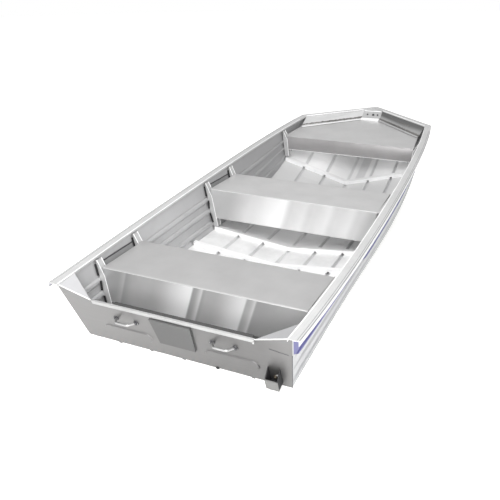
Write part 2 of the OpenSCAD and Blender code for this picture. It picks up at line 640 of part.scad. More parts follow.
// Drain plug low in the transom, inside the bracket
drain_z = 66;
drain_d = 26;
drain_hex = 16;
drain_flange = 4;
drain_head = 14;
module drain_plug() color([0.8, 0.75, 0.6]) place() on_transom()
    translate([-bracket_y, up_transom(drain_z), -seat]) {
    translate([0, 0, -drain_flange]) cylinder(d = drain_d, h = drain_flange, $fn = curve);
    translate([0, 0, -drain_head]) cylinder(d = drain_hex, h = drain_head, $fn = 6);
}

hull_bottom();
side_port();
side_starboard();
bow_plate_port();
bow_plate_starboard();
stem();
transom();
transom_cap();
corner_gusset_port();
corner_gusset_starboard();
gunwale_port();
gunwale_starboard();
bow_gunwale_port();
bow_gunwale_starboard();
breasthook();
nose_plate();
bow_liner_port();
bow_liner_starboard();
bow_eye();
stern_bench_top();
stern_bench_aft();
stern_bench_fore();
middle_bench_top();
middle_bench_aft();
middle_bench_fore();
bow_deck();
bow_deck_face();
rib_1();
rib_2();
rib_3();
rib_4();
rib_5();
rib_6();
rib_7();
frame_1_port();
frame_1_starboard();
frame_2_port();
frame_2_starboard();
frame_3_port();
frame_3_starboard();
frame_4_port();
frame_4_starboard();
frame_5_port();
frame_5_starboard();
motor_pad();
motor_board();
handle_port();
handle_starboard();
sounder_bracket();
sounder_plate();
drain_plug();
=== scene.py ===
# %% [markdown]
# # A sheet aluminium jon boat
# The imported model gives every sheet, frame and fitting at its real size. This lesson dresses it: metal
# finishes first, then the small things that bending, sealing and bolting leave behind. Lengths are
# metres, +X points to the bow, +Y to port and +Z up.

# %% Load the fixed frame
import json
import math
import bmesh
import bpy
from mathutils import Matrix, Vector, noise
from mathutils.bvhtree import BVHTree


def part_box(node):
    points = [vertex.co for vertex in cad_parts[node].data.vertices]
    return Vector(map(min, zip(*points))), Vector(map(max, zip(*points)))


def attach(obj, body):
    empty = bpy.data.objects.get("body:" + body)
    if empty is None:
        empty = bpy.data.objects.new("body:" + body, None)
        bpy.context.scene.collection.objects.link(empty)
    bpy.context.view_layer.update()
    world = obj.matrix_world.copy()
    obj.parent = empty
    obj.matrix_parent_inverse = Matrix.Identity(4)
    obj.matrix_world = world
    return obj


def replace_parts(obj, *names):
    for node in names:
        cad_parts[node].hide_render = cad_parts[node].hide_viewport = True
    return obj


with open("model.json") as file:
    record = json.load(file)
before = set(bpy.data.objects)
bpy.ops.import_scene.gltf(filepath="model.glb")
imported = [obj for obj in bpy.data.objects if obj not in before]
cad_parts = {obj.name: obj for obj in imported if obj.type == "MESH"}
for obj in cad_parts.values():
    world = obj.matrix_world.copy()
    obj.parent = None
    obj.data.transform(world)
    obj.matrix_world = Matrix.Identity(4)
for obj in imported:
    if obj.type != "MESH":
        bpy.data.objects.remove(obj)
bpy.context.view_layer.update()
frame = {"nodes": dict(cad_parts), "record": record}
nodes = frame["nodes"]

# %% [markdown]
# The camera stands behind the starboard quarter and looks down into the boat. Its place, target, roll
# and focal length were found by matching the hull's corners, so the frame needs no shift.

# %% Camera
IMAGE_SIDE = 500
FOCAL_PIXELS = 621.02
SENSOR_MM = 36.0
EYE = Vector((-4.4714, -1.5912, 1.9988))
TARGET = Vector((-0.3225, 0.3575, -0.0665))
ROLL = -0.0114
FAR_CLIP = 100


def make_camera():
    """A camera that looks from EYE to TARGET, turned by ROLL about its own axis."""
    ahead = (TARGET - EYE).normalized()
    right = ahead.cross(Vector((0, 0, 1))).normalized()
    up = right.cross(ahead)
    turned_right = right * math.cos(ROLL) + up * math.sin(ROLL)
    turned_up = up * math.cos(ROLL) - right * math.sin(ROLL)
    data = bpy.data.cameras.new("camera")
    data.sensor_width = SENSOR_MM
    data.lens = FOCAL_PIXELS / IMAGE_SIDE * SENSOR_MM
    data.clip_end = FAR_CLIP
    camera = bpy.data.objects.new("camera", data)
    basis = Matrix((turned_right, turned_up, -ahead)).transposed().to_4x4()
    camera.matrix_world = Matrix.Translation(EYE) @ basis
    bpy.context.collection.objects.link(camera)
    bpy.context.scene.camera = camera
    return camera


camera = make_camera()
bpy.context.scene.view_settings.view_transform = "Standard"
print("camera lens", round(camera.data.lens, 2), "mm")

# %% [markdown]
# Every material here is a tree of nodes, and the same few steps come back in all of them: make a node
# with its values, link it, split a vector, do a sum, run a value through a ramp. Small helpers keep the
# trees readable.

# %% Node helpers
def new_material(name):
    """A material with an empty node tree and its output."""
    material = bpy.data.materials.new(name)
    material.use_nodes = True
    tree = material.node_tree
    tree.nodes.clear()
    output = tree.nodes.new("ShaderNodeOutputMaterial")
    return material, tree, output


def add(tree, kind, **settings):
    """A node of that kind, with its settings and named input values."""
    node = tree.nodes.new("ShaderNode" + kind)
    inputs = settings.pop("inputs", {})
    for key, value in settings.items():
        setattr(node, key, value)
    for key, value in inputs.items():
        node.inputs[key].default_value = value
    return node


def ramp(tree, factor, stops):
    """A colour ramp whose stops are (place, grey or colour)."""
    node = add(tree, "ValToRGB")
    gradient = node.color_ramp
    while len(gradient.elements) < len(stops):
        gradient.elements.new(0.5)
    for element, (place, colour) in zip(gradient.elements, stops):
        element.position = place
        rgb = (colour,) * 3 if isinstance(colour, (int, float)) else colour
        element.color = (*rgb, 1)
    tree.links.new(factor, node.inputs["Fac"])
    return node.outputs["Color"]


def maths(tree, operation, first, second=0.0):
    """The output of a math node whose inputs are sockets or numbers."""
    node = add(tree, "Math", operation=operation)
    for socket, value in zip(node.inputs, (first, second)):
        if isinstance(value, (int, float)):
            socket.default_value = value
        else:
            tree.links.new(value, socket)
    return node.outputs[0]


def split(tree, vector):
    """The X, Y and Z of a vector, as three sockets."""
    node = add(tree, "SeparateXYZ")
    tree.links.new(vector, node.inputs[0])
    return node.outputs["X"], node.outputs["Y"], node.outputs["Z"]


print("node helpers ready")

# %% [markdown]
# The studio is a pale floor, a white horizon and soft lamps. Bare metal shows whatever stands around
# it, so the world is a little darker overhead than at the horizon: that gradient is what models the
# sheets. The floor glows a little for the rays that show it, seen directly, in metal or through glass,
# and still keeps the shadow. A bright world alone would wash the shadow out.

# %% World and floor
WORLD_STOPS = [(0.0, 1.0), (0.5, 1.0), (0.62, 0.74), (0.8, 0.62), (1.0, 0.9)]
FLOOR_COLOUR, GLOW_COLOUR = (0.93, 0.93, 0.92, 1), (1, 1, 0.985, 1)
FLOOR_GLOW = 0.46
FLOOR_RADIUS, FLOOR_SIDES = 30, 96


def make_world():
    """A world that is white at the horizon and greyer above it."""
    world = bpy.data.worlds.new("studio")
    bpy.context.scene.world = world
    world.use_nodes = True
    tree = world.node_tree
    tree.nodes.clear()
    output = tree.nodes.new("ShaderNodeOutputWorld")
    upward = split(tree, add(tree, "TexCoord").outputs["Generated"])[2]
    height = add(tree, "MapRange", inputs={"From Min": -1, "From Max": 1})
    tree.links.new(upward, height.inputs["Value"])
    soft = add(tree, "Background", inputs={"Strength": 1.0})
    tree.links.new(ramp(tree, height.outputs[0], WORLD_STOPS), soft.inputs["Color"])
    tree.links.new(soft.outputs[0], output.inputs["Surface"])


def make_floor():
    """A round pale floor whose glow is only for the rays that show it."""
    material, tree, output = new_material("studio_floor")
    base = add(tree, "BsdfDiffuse", inputs={"Color": FLOOR_COLOUR})
    path = add(tree, "LightPath")
    seen = path.outputs["Is Camera Ray"]
    for other in ("Is Glossy Ray", "Is Transmission Ray"):
        seen = maths(tree, "MAXIMUM", seen, path.outputs[other])
    glow = add(tree, "Emission", inputs={"Color": GLOW_COLOUR})
    tree.links.new(maths(tree, "MULTIPLY", seen, FLOOR_GLOW), glow.inputs["Strength"])
    both = add(tree, "AddShader")
    tree.links.new(base.outputs[0], both.inputs[0])
    tree.links.new(glow.outputs[0], both.inputs[1])
    tree.links.new(both.outputs[0], output.inputs["Surface"])
    shape = bmesh.new()
    bmesh.ops.create_circle(shape, cap_ends=True, segments=FLOOR_SIDES, radius=FLOOR_RADIUS)
    mesh = bpy.data.meshes.new("studio_floor")
    shape.to_mesh(mesh)
    shape.free()
    mesh.materials.append(material)
    floor = bpy.data.objects.new("studio_floor", mesh)
    bpy.context.collection.objects.link(floor)


make_world()
make_floor()
print("world with", len(WORLD_STOPS), "stops and a floor of", FLOOR_RADIUS, "m radius")

# %% [markdown]
# Large round soft boxes light the boat from above and beside the camera, as a photographer would set
# them. Two weak ones under the bow deck open its shade.

# %% Lamps
LAMPS = [
    ("overhead", (0.2, -0.3, 4.5), (0.2, 0, 0), 3.5, 15),
    ("above_camera", (-4.3, -0.4, 4.4), (0.3, 0, 0.2), 3.0, 190),
    ("near_camera", (-5.2, -1.7, 1.8), (0.5, 0, 0.2), 2.0, 150),
    ("starboard_fill", (-1.5, -6.0, 1.0), (-0.5, 0, 0.2), 3.0, 25),
    ("deck_fill_port", (1.28, 0.30, 0.50), (1.25, 0.32, 0.1), 0.3, 0.2),
    ("deck_fill_starboard", (1.28, -0.30, 0.50), (1.25, -0.32, 0.1), 0.3, 0.13),
]


def lamp(name, place, target, size, watts):
    """A round soft box that shines from place to target."""
    data = bpy.data.lights.new(name, "AREA")
    data.shape = "DISK"
    data.size = size
    data.energy = watts
    light = bpy.data.objects.new(name, data)
    way = Vector(target) - Vector(place)
    light.matrix_world = Matrix.Translation(place) @ way.to_track_quat("-Z", "Y").to_matrix().to_4x4()
    bpy.context.collection.objects.link(light)


for row in LAMPS:
    lamp(*row)
print(len(LAMPS), "lamps")

# %% [markdown]
# Mill finish aluminium isn't one grey. The rolling mill leaves fine streaks along the sheet, handling
# leaves soft smudges, and no sheet is quite flat. Streaks go to the roughness, smudges to the colour,
# and the waviness is a long, shallow bump that bends the reflections.

# %% Metal finish
SMUDGE_SCALE, SMUDGE_DETAIL, SMUDGE_ROUGH = (5, 5, 5), 4.0, 0.6
SMUDGE_DARK_AT, SMUDGE_LIGHT_AT = 0.3, 0.7
STREAK_DETAIL, WAVE_DETAIL = 3.0, 1.0
GLOSS_SPREAD = 0.06
GRAIN_STRENGTH, GRAIN_HEIGHT = 0.08, 0.0004


def metal(name, colour, metallic, roughness, streak_scale, wave_scale, wave, smudge=0.05, edge=0.002,
          marks=None, calm=None):
    """Bare metal with rolling streaks, smudges and waviness. The scales are turns per metre on X, Y and Z.

    marks is a function that paints over the colour, calm one that evens out the normal.
    """
    material, tree, output = new_material(name)
    shader = add(tree, "BsdfPrincipled", inputs={"Metallic": metallic})
    place = add(tree, "TexCoord").outputs["Object"]

    def noise_field(scale, detail, rough=0.5):
        spread = add(tree, "Mapping", inputs={"Scale": scale})
        tree.links.new(place, spread.inputs["Vector"])
        node = add(tree, "TexNoise", inputs={"Scale": 1.0, "Detail": detail, "Roughness": rough})
        tree.links.new(spread.outputs[0], node.inputs["Vector"])
        return node.outputs["Fac"]

    streaks = noise_field(streak_scale, STREAK_DETAIL)
    smudges = noise_field(SMUDGE_SCALE, SMUDGE_DETAIL, SMUDGE_ROUGH)
    waves = noise_field(wave_scale, WAVE_DETAIL)
    dark = tuple(part * (1 - smudge) for part in colour)
    light = tuple(min(1, part * (1 + smudge)) for part in colour)
    tint = ramp(tree, smudges, [(SMUDGE_DARK_AT, dark), (SMUDGE_LIGHT_AT, light)])
    if marks:
        tint = marks(tree, place, tint)
    tree.links.new(tint, shader.inputs["Base Color"])
    gloss_range = {"To Min": roughness - GLOSS_SPREAD, "To Max": roughness + GLOSS_SPREAD}
    gloss = add(tree, "MapRange", inputs=gloss_range)
    tree.links.new(streaks, gloss.inputs["Value"])
    tree.links.new(gloss.outputs[0], shader.inputs["Roughness"])
    normal = add(tree, "Bevel", inputs={"Radius": edge}).outputs[0]
    if calm:
        normal = calm(tree, place, normal)
    grain = add(tree, "Bump", inputs={"Strength": GRAIN_STRENGTH, "Distance": GRAIN_HEIGHT})
    tree.links.new(streaks, grain.inputs["Height"])
    tree.links.new(normal, grain.inputs["Normal"])
    bend = add(tree, "Bump", inputs={"Strength": 1.0, "Distance": wave})
    tree.links.new(waves, bend.inputs["Height"])
    tree.links.new(grain.outputs[0], bend.inputs["Normal"])
    tree.links.new(bend.outputs[0], shader.inputs["Normal"])
    tree.links.new(shader.outputs[0], output.inputs["Surface"])
    return material


print("metal finish ready")

# %% [markdown]
# Some sheets carry marks: painted light under the bench and the deck and painted shade in the pressed
# strakes of the floor, painted shade and a blue band on the sides, painted light and shade on the
# transom and a liner, and painted reflections on the bench panels. All are painted from object
# coordinates, so they stay where the sheet is. A separate thin strip would have to follow every ridge;
# paint needn't. Each mark is a colour laid over another by a factor, and the factor is mostly a
# smooth step along one direction.

# %% Helpers for marks
MIX_BELOW, MIX_ABOVE, MIX_RESULT = 6, 7, 2


def over(tree, factor, below, above):
    """Colour above laid over colour below by a factor. A Mix node's colour sockets are found by number."""
    node = add(tree, "Mix", data_type="RGBA")
    tree.links.new(factor, node.inputs["Factor"])
    tree.links.new(below, node.inputs[MIX_BELOW])
    node.inputs[MIX_ABOVE].default_value = (*above, 1)
    return node.outputs[MIX_RESULT]


def stepped(tree, value, start, end, least=0.0, most=1.0):
    """A smooth step from least at start to most at end."""
    node = add(tree, "MapRange", interpolation_type="SMOOTHSTEP",
               inputs={"From Min": start, "From Max": end, "To Min": least, "To Max": most})
    tree.links.new(value, node.inputs["Value"])
    return node.outputs[0]


def band(tree, value, begin, full, fade, end):
    """1 from full to fade, with smooth edges that reach out to begin and end."""
    return maths(tree, "MULTIPLY", stepped(tree, value, begin, full), stepped(tree, value, end, fade))


def face_normal(tree):
    """The X, Y and Z of the surface's own normal."""
    return split(tree, add(tree, "NewGeometry").outputs["Normal"])


print("mark helpers ready")

# %% [markdown]
# The floor is painted near white where the middle bench and the bow deck shade it: painted light that
# lifts their shade. Between them it is greyer. Grey lines of painted shade run along the pressed
# strakes, deepest to starboard and faintest amidships, and one broad band forward is darker. The
# underside is the same sheet, so its marks are covered by an even grey where the normal points down.

# %% Marks of the floor
STRAKE_PITCH = 0.215
STRAKE_CORE, STRAKE_EDGE = 0.004, 0.022
STRAKE_HALF_SPAN = 0.55
STRAKE_DEPTHS = [(0.05, 0.0), (0.11, 0.85), (0.31, 0.6), (0.5, 0.35), (0.69, 0.55), (0.89, 0.5),
                 (0.95, 0.0)]
STRAKE_GREY = (0.40, 0.40, 0.41)
BELOW_BENCH, BELOW_DECK = (-0.39, -0.35, 0.01, 0.05), (1.10, 1.14)
FORE_FLOOR = (0.01, 0.05, 1.10, 1.14)
DARK_BAND_ACROSS, DARK_BAND_FROM, DARK_BAND_DEPTH = (-0.165, -0.145, -0.075, -0.055), (1.10, 1.16), 0.35
PAINTED_LIGHT_WHITE = (0.96, 0.96, 0.96)
FORE_GREY = (0.62, 0.62, 0.62)
UNDER_GREY = (0.60, 0.60, 0.605)


def strake_shade(tree, place, colour):
    """The floor: painted light under bench and deck, painted shade on the strakes, a dark band, grey below.
    """
    along, across, _ = split(tree, place)
    below_bench = band(tree, along, *BELOW_BENCH)
    # Painted light: the floor in the shade of the middle bench and the deck is painted near white.
    shade_lift = maths(tree, "MAXIMUM", below_bench, stepped(tree, along, *BELOW_DECK))
    colour = over(tree, shade_lift, colour, PAINTED_LIGHT_WHITE)
    colour = over(tree, band(tree, along, *FORE_FLOOR), colour, FORE_GREY)
    # Painted shade: grey lines along the pressed strakes.
    off = maths(tree, "PINGPONG", maths(tree, "ABSOLUTE", across), STRAKE_PITCH / 2)
    line = stepped(tree, off, STRAKE_CORE, STRAKE_EDGE, 1.0, 0.0)
    spread = add(tree, "MapRange", inputs={"From Min": -STRAKE_HALF_SPAN, "From Max": STRAKE_HALF_SPAN})
    tree.links.new(across, spread.inputs["Value"])
    depth = ramp(tree, spread.outputs[0], STRAKE_DEPTHS)
    colour = over(tree, maths(tree, "MULTIPLY", line, depth), colour, STRAKE_GREY)
    forward = stepped(tree, along, *DARK_BAND_FROM, 0.0, DARK_BAND_DEPTH)
    dark_band = maths(tree, "MULTIPLY", band(tree, across, *DARK_BAND_ACROSS), forward)
    colour = over(tree, dark_band, colour, STRAKE_GREY)
    below = maths(tree, "LESS_THAN", face_normal(tree)[2], 0.0)
    return over(tree, below, colour, UNDER_GREY)


print("floor marks over", len(STRAKE_DEPTHS), "depths")

# %% [markdown]
# Outside, each side is painted a little greyer, and inside it is painted darker towards the bow: both
# are painted shade. Each side has a blue band under the gunwale. It is broad at the stern, starts just
# ahead of the corner and tapers to a line. Its lower edge is a ramp of depths below the sheer, which is
# the hull's own curve. The ridges outside are shaded softly: the tilt of the normal is drawn towards the
# sheet's own.

# %% Marks of the sides
MIDSHIP, FLOOR_UP = 2.1355, 0.010
STERN_DEPTH, SHEER_RISE, CORNER_STATION, SHEER_POWER = 0.409, 0.197, 3.783, 1.27
STRIPE_REACH = 4.0
STRIPE_LOW = [(0.0, 0.100), (0.039, 0.190), (0.09, 0.190), (0.138, 0.187), (0.19, 0.196),
              (0.243, 0.208), (0.295, 0.219), (0.362, 0.258), (0.413, 0.264), (0.515, 0.273),
              (0.613, 0.274), (0.7025, 0.263), (0.815, 0.286), (0.945, 0.286)]
STRIPE_WIDTH = [(0.0, 0.30), (0.12, 0.25), (0.33, 0.03), (0.5, 0.014), (0.945, 0.010)]
TRANSOM_RAKE, CORNER_PLAIN = 0.385, 0.018
STRIPE_BLUE = (0.065, 0.065, 0.24)
OUTSIDE_GREY = (0.45, 0.455, 0.465)
INSIDE_FORE, INSIDE_FADE = (0.44, 0.44, 0.445), (-1.8, 1.0)
RIDGE_CALM, SIDE_TILT = 0.8, -0.16


def outer_face(tree, across):
    """1 where a side's sheet faces away from the boat, else 0."""
    away = maths(tree, "MULTIPLY", face_normal(tree)[1], across)
    return maths(tree, "GREATER_THAN", away, 0.0)


def stripe_and_painted_shade(tree, place, colour):
    """A side: painted shade inside towards the bow and outside, and a blue band that tapers to a line."""
    along, across, height = split(tree, place)
    station = maths(tree, "ADD", along, MIDSHIP)
    forward = maths(tree, "MAXIMUM", maths(tree, "DIVIDE", station, CORNER_STATION), 0.0)
    share = maths(tree, "POWER", forward, SHEER_POWER)
    sheer = maths(tree, "ADD", maths(tree, "MULTIPLY", share, SHEER_RISE), STERN_DEPTH + FLOOR_UP)
    depth = maths(tree, "SUBTRACT", sheer, height)
    reach = maths(tree, "DIVIDE", station, STRIPE_REACH)
    below_low = maths(tree, "SUBTRACT", ramp(tree, reach, STRIPE_LOW), depth)
    inside_width = maths(tree, "LESS_THAN", below_low, ramp(tree, reach, STRIPE_WIDTH))
    within = maths(tree, "MULTIPLY", maths(tree, "GREATER_THAN", below_low, 0.0), inside_width)
    from_corner = maths(tree, "SUBTRACT", station, maths(tree, "MULTIPLY", depth, TRANSOM_RAKE))
    within = maths(tree, "MULTIPLY", within, maths(tree, "GREATER_THAN", from_corner, CORNER_PLAIN))
    outward = outer_face(tree, across)
    # Painted shade: darker inside towards the bow and greyer on the outside.
    colour = over(tree, stepped(tree, along, *INSIDE_FADE), colour, INSIDE_FORE)
    colour = over(tree, outward, colour, OUTSIDE_GREY)
    return over(tree, maths(tree, "MULTIPLY", within, outward), colour, STRIPE_BLUE)


def calm_ridges(tree, place, normal):
    """Outside, the normal's tilt up or down is drawn towards the sheet's own."""
    calmed = maths(tree, "MULTIPLY", outer_face(tree, split(tree, place)[1]), RIDGE_CALM)
    along, across, tilt = split(tree, normal)
    change = maths(tree, "SUBTRACT", SIDE_TILT, tilt)
    level = maths(tree, "ADD", tilt, maths(tree, "MULTIPLY", change, calmed))
    joined = add(tree, "CombineXYZ")
    for socket, part in zip(joined.inputs, (along, across, level)):
        tree.links.new(part, socket)
    unit = add(tree, "VectorMath", operation="NORMALIZE")
    tree.links.new(joined.outputs[0], unit.inputs[0])
    return unit.outputs[0]


print("stripe from", STRIPE_WIDTH[0][1], "to", STRIPE_WIDTH[-1][1], "m wide")

# %% [markdown]
# The transom's sheet is painted brighter towards port and again at its starboard corner, as painted
# light. Its inner face is lighter than its outside, whose dark grey is painted shade. The starboard
# liner in the bow is painted darker along its upper half, as painted shade. Each is a step from one grey
# to another.

# %% Marks of the transom and a liner
TRANSOM_BRIGHT, TRANSOM_INSIDE = (0.245, 0.241, 0.241), (0.50, 0.50, 0.505)
CORNER_LIGHT, PORT_LIGHT = (-0.52, -0.68, 0.0, 0.5), (-0.5, 0.7, 0.0, 0.8)
FACES_AHEAD = 0.5
LINER_SLOPE, LINER_START = 0.0561, 0.4713
LINER_FADE, LINER_DARK = (0.012, 0.034), (0.17, 0.17, 0.17)


def port_light(tree, place, colour):
    """Painted light: the transom is brighter to port and at its starboard corner; its inside is lighter."""
    across = split(tree, place)[1]
    # Painted light: brighter to port and at the starboard corner.
    for light in (CORNER_LIGHT, PORT_LIGHT):
        colour = over(tree, stepped(tree, across, *light), colour, TRANSOM_BRIGHT)
    inside = maths(tree, "GREATER_THAN", face_normal(tree)[0], FACES_AHEAD)
    return over(tree, inside, colour, TRANSOM_INSIDE)


def shaded_top(tree, place, colour):
    """Painted shade: the starboard liner is darker along its upper half."""
    along, _, height = split(tree, place)
    low_edge = maths(tree, "ADD", maths(tree, "MULTIPLY", along, LINER_SLOPE), LINER_START)
    rise = maths(tree, "SUBTRACT", height, low_edge)
    # Painted shade along the liner's upper half.
    return over(tree, stepped(tree, rise, *LINER_FADE), colour, LINER_DARK)


print("transom and liner marks ready")

# %% [markdown]
# A wavy sheet of bare metal shows its surroundings in upright streaks. A true mirror would change with
# every lamp, so the streaks are painted reflections: each brightens slowly towards its spot, stops there
# sharply and falls off dark. The panel's ends are painted darker, as painted shade.

# %% Painted reflections on the bench panels
STREAK_LEAN = 0.3
STERN_STREAKS = [(0.595, 0.05, 0.06, 0.15, 0.4), (0.136, 0.26, 0.05, 0.85, 0.6),
                 (0.072, 0.04, 0.03, 0.45, 0.4), (-0.20, 0.20, 0.04, 0.6, 0.4),
                 (-0.258, 0.03, 0.34, 0.35, 0.7)]
STERN_ENDS = [(0.50, 0.66, 0.34)]
STERN_BRIGHT, STERN_DARK, STERN_SOFT = (0.92, 0.92, 0.92), (0.27, 0.27, 0.27), 0.008
MIDDLE_STREAKS = [(0.12, 0.34, 0.05, 1.0, 0.4), (-0.04, 0.12, 0.05, 0.3, 0.4),
                  (-0.23, 0.14, 0.05, 0.4, 0.4), (-0.40, 0.12, 0.05, 0.4, 0.4)]
MIDDLE_ENDS = [(0.40, 0.62, 0.44), (-0.42, -0.52, 0.52)]
MIDDLE_BRIGHT, MIDDLE_DARK, MIDDLE_SOFT = (0.90, 0.90, 0.90), (0.54, 0.54, 0.54), 0.035


def painted_reflection_streaks(streaks, ends, bright, dark, edge):
    """Painted reflections for a panel, with ends painted darker as shade, each end (start, full, grey).

    A streak is (spot, run_up, run_out, shine, shade): it brightens over run_up towards its spot by a share
    shine, and falls off dark over run_out by a share shade.
    """
    def paint(tree, place, colour):
        _, across, height = split(tree, place)
        leaning = maths(tree, "ADD", across, maths(tree, "MULTIPLY", height, STREAK_LEAN))
        # Painted shade: the panel's ends are darker.
        for start, full, grey in ends:
            colour = over(tree, stepped(tree, leaning, start, full), colour, (grey,) * 3)
        # Painted reflections: a bright streak with a dark fall after it.
        for spot, run_up, run_out, shine, shade in streaks:
            before = stepped(tree, leaning, spot - edge, spot + edge, 0.0, shine)
            rise = maths(tree, "MULTIPLY", stepped(tree, leaning, spot + run_up, spot), before)
            colour = over(tree, rise, colour, bright)
            after = stepped(tree, leaning, spot + edge, spot - edge, 0.0, shade)
            fall = maths(tree, "MULTIPLY", stepped(tree, leaning, spot - run_out, spot), after)
            colour = over(tree, fall, colour, dark)
        return colour
    return paint


stern_reflections = painted_reflection_streaks(STERN_STREAKS, STERN_ENDS, STERN_BRIGHT, STERN_DARK, STERN_SOFT)
middle_reflections = painted_reflection_streaks(MIDDLE_STREAKS, MIDDLE_ENDS, MIDDLE_BRIGHT, MIDDLE_DARK, MIDDLE_SOFT)
print(len(STERN_STREAKS), "streaks on the stern panel and", len(MIDDLE_STREAKS), "on the middle one")

# %% [markdown]
# Now the finishes themselves. Each row is colour, metallic, roughness, direction of the rolling
# streaks, scale of the waviness and its height. A second table adds marks and softer edges where a
# sheet has them. The greys differ as sheets, rods and plates do on the real boat, and also as painted
# light and shade: pieces that face the light get lighter copies of a finish, pieces in shade darker
# ones. The dark finishes without metal, such as the near-black of the painted shadow strips, are the
# same recipe with no metal in it.

# %% Finishes
ALONG, ACROSS, EVEN, UPRIGHT = (3, 260, 260), (260, 3, 260), (300, 300, 300), (22, 22, 0.7)
FLAT_WAVE, FACE_WAVE = (1.2, 1.2, 1.2), (1.5, 3.0, 0.25)
FINISH_ROWS = {
    "hull_sheet": ((0.56, 0.56, 0.565), 0.5, 0.42, ALONG, FLAT_WAVE, 0.008),
    "side_sheet": ((0.57, 0.57, 0.575), 0.5, 0.42, ALONG, FLAT_WAVE, 0.008),
    # Painted light: the floor is a brighter, less metallic copy of the sheet.
    "floor_sheet": ((0.80, 0.80, 0.80), 0.15, 0.45, ALONG, FLAT_WAVE, 0.006),
    # Painted shade: the transom's outside is dark so that its mirror image of the bright floor stays dark.
    "transom_sheet": ((0.155, 0.153, 0.153), 0.85, 0.45, ACROSS, FLAT_WAVE, 0.006),
    # Painted light and shade: the port gusset faces the light and is lighter than the starboard one.
    "gusset_port": ((0.50, 0.50, 0.51), 0.3, 0.5, EVEN, FLAT_WAVE, 0.002),
    "gusset_starboard": ((0.38, 0.38, 0.39), 0.3, 0.5, EVEN, FLAT_WAVE, 0.002),
    "extrusion": ((0.64, 0.64, 0.64), 0.5, 0.40, ALONG, FLAT_WAVE, 0.002),
    "cap_sheet": ((0.40, 0.40, 0.40), 0.5, 0.40, ACROSS, FLAT_WAVE, 0.002),
    # Also the painted shade of the gunwale's groove and outer edge.
    "groove_grey": ((0.34, 0.34, 0.345), 0.5, 0.45, ALONG, FLAT_WAVE, 0.0005),
    "bench_sheet": ((0.57, 0.567, 0.567), 0.5, 0.35, ACROSS, FACE_WAVE, 0.006),
    "stern_bench_sheet": ((0.46, 0.457, 0.457), 0.5, 0.35, ACROSS, FACE_WAVE, 0.006),
    "stern_panel": ((0.43, 0.428, 0.428), 0.4, 0.30, UPRIGHT, FACE_WAVE, 0.012),
    "middle_panel": ((0.64, 0.638, 0.638), 0.4, 0.30, UPRIGHT, FACE_WAVE, 0.012),
    "deck_panel": ((0.36, 0.351, 0.353), 0.5, 0.45, ACROSS, FACE_WAVE, 0.004),
    # Painted light and shade: the port liner faces the light and is lighter than the starboard one.
    "liner_port": ((0.64, 0.64, 0.64), 0.3, 0.4, EVEN, FLAT_WAVE, 0.004),
    "liner_starboard": ((0.46, 0.46, 0.46), 0.8, 0.4, EVEN, FLAT_WAVE, 0.004),
    "nose_sheet": ((0.50, 0.50, 0.50), 0.5, 0.4, EVEN, FLAT_WAVE, 0.004),
    # Near white; on the rods of rims, folds, lips and hems it is a painted highlight.
    "frame_sheet": ((0.90, 0.90, 0.90), 0.2, 0.42, ACROSS, FLAT_WAVE, 0.002),
    "frame_web": ((0.44, 0.44, 0.44), 0.3, 0.42, EVEN, FLAT_WAVE, 0.001),
    "pad_grey": ((0.078, 0.078, 0.078), 0.0, 0.55, EVEN, FLAT_WAVE, 0.001),
    "bright_rod": ((0.45, 0.45, 0.45), 0.9, 0.34, EVEN, FLAT_WAVE, 0.0005),
    "plate_grey": ((0.175, 0.175, 0.172), 0.6, 0.4, EVEN, FLAT_WAVE, 0.0005),
    # Also the painted shadow strips beside the side frames, and the dark stud at the transom's foot.
    "bracket_black": ((0.012, 0.012, 0.013), 0.0, 0.8, EVEN, FLAT_WAVE, 0.001),
    "drain_brass": ((0.16, 0.14, 0.11), 0.8, 0.45, EVEN, FLAT_WAVE, 0.0005),
    # Also the painted shadow lines above the benches and the painted shade lines at the transom's corner.
    "dark_steel": ((0.10, 0.10, 0.105), 0.7, 0.4, EVEN, FLAT_WAVE, 0.0005),
    # Colours the dark strip along the cap's inner edge.
    "seal_rubber": ((0.05, 0.05, 0.05), 0.0, 0.7, EVEN, FLAT_WAVE, 0.001),
    "sealant": ((0.16, 0.155, 0.15), 0.0, 0.7, EVEN, FLAT_WAVE, 0.001),
}
FINISH_EXTRAS = {
    "side_sheet": {"edge": 0.012, "marks": stripe_and_painted_shade, "calm": calm_ridges},
    "floor_sheet": {"smudge": 0.1, "marks": strake_shade},
    "transom_sheet": {"marks": port_light},
    "stern_panel": {"marks": stern_reflections},
    "middle_panel": {"marks": middle_reflections},
    "liner_starboard": {"marks": shaded_top},
    "sealant": {"smudge": 0.4},
}
finishes = {name: metal(name, *row, **FINISH_EXTRAS.get(name, {})) for name, row in FINISH_ROWS.items()}
print(len(finishes), "finishes,", len(FINISH_EXTRAS), "with extras")

# %% [markdown]
# Each slot of the record has a finish of its own name. A few pieces of a slot get another one: the
# floor is painted brighter than the sides, as painted light, the bench panels carry painted
# reflections, and the gussets and the liners inside the bow differ as painted light and shade, since
# one of each faces the light.

# %% Give every imported piece its finish
own_finish = {
    "hull_bottom": "floor_sheet", "side_port": "side_sheet", "side_starboard": "side_sheet",
    "corner_gusset_port": "gusset_port", "corner_gusset_starboard": "gusset_starboard",
    "stern_bench_top": "stern_bench_sheet", "transom_cap": "cap_sheet",
    "stern_bench_aft": "stern_panel", "stern_bench_fore": "stern_panel",
    "middle_bench_aft": "middle_panel", "middle_bench_fore": "middle_panel", "bow_deck_face": "deck_panel",
    "bow_liner_port": "liner_port", "bow_liner_starboard": "liner_starboard", "nose_plate": "nose_sheet",
    "sounder_plate": "plate_grey",
}
slot_of = {row["node"]: row["material_slot"] for row in frame["record"]["subparts"]}
for name, piece in nodes.items():
    piece.data.materials.clear()
    piece.data.materials.append(finishes[own_finish.get(name, slot_of[name])])
print(len(nodes), "pieces dressed,", len(own_finish), "with a finish of their own")

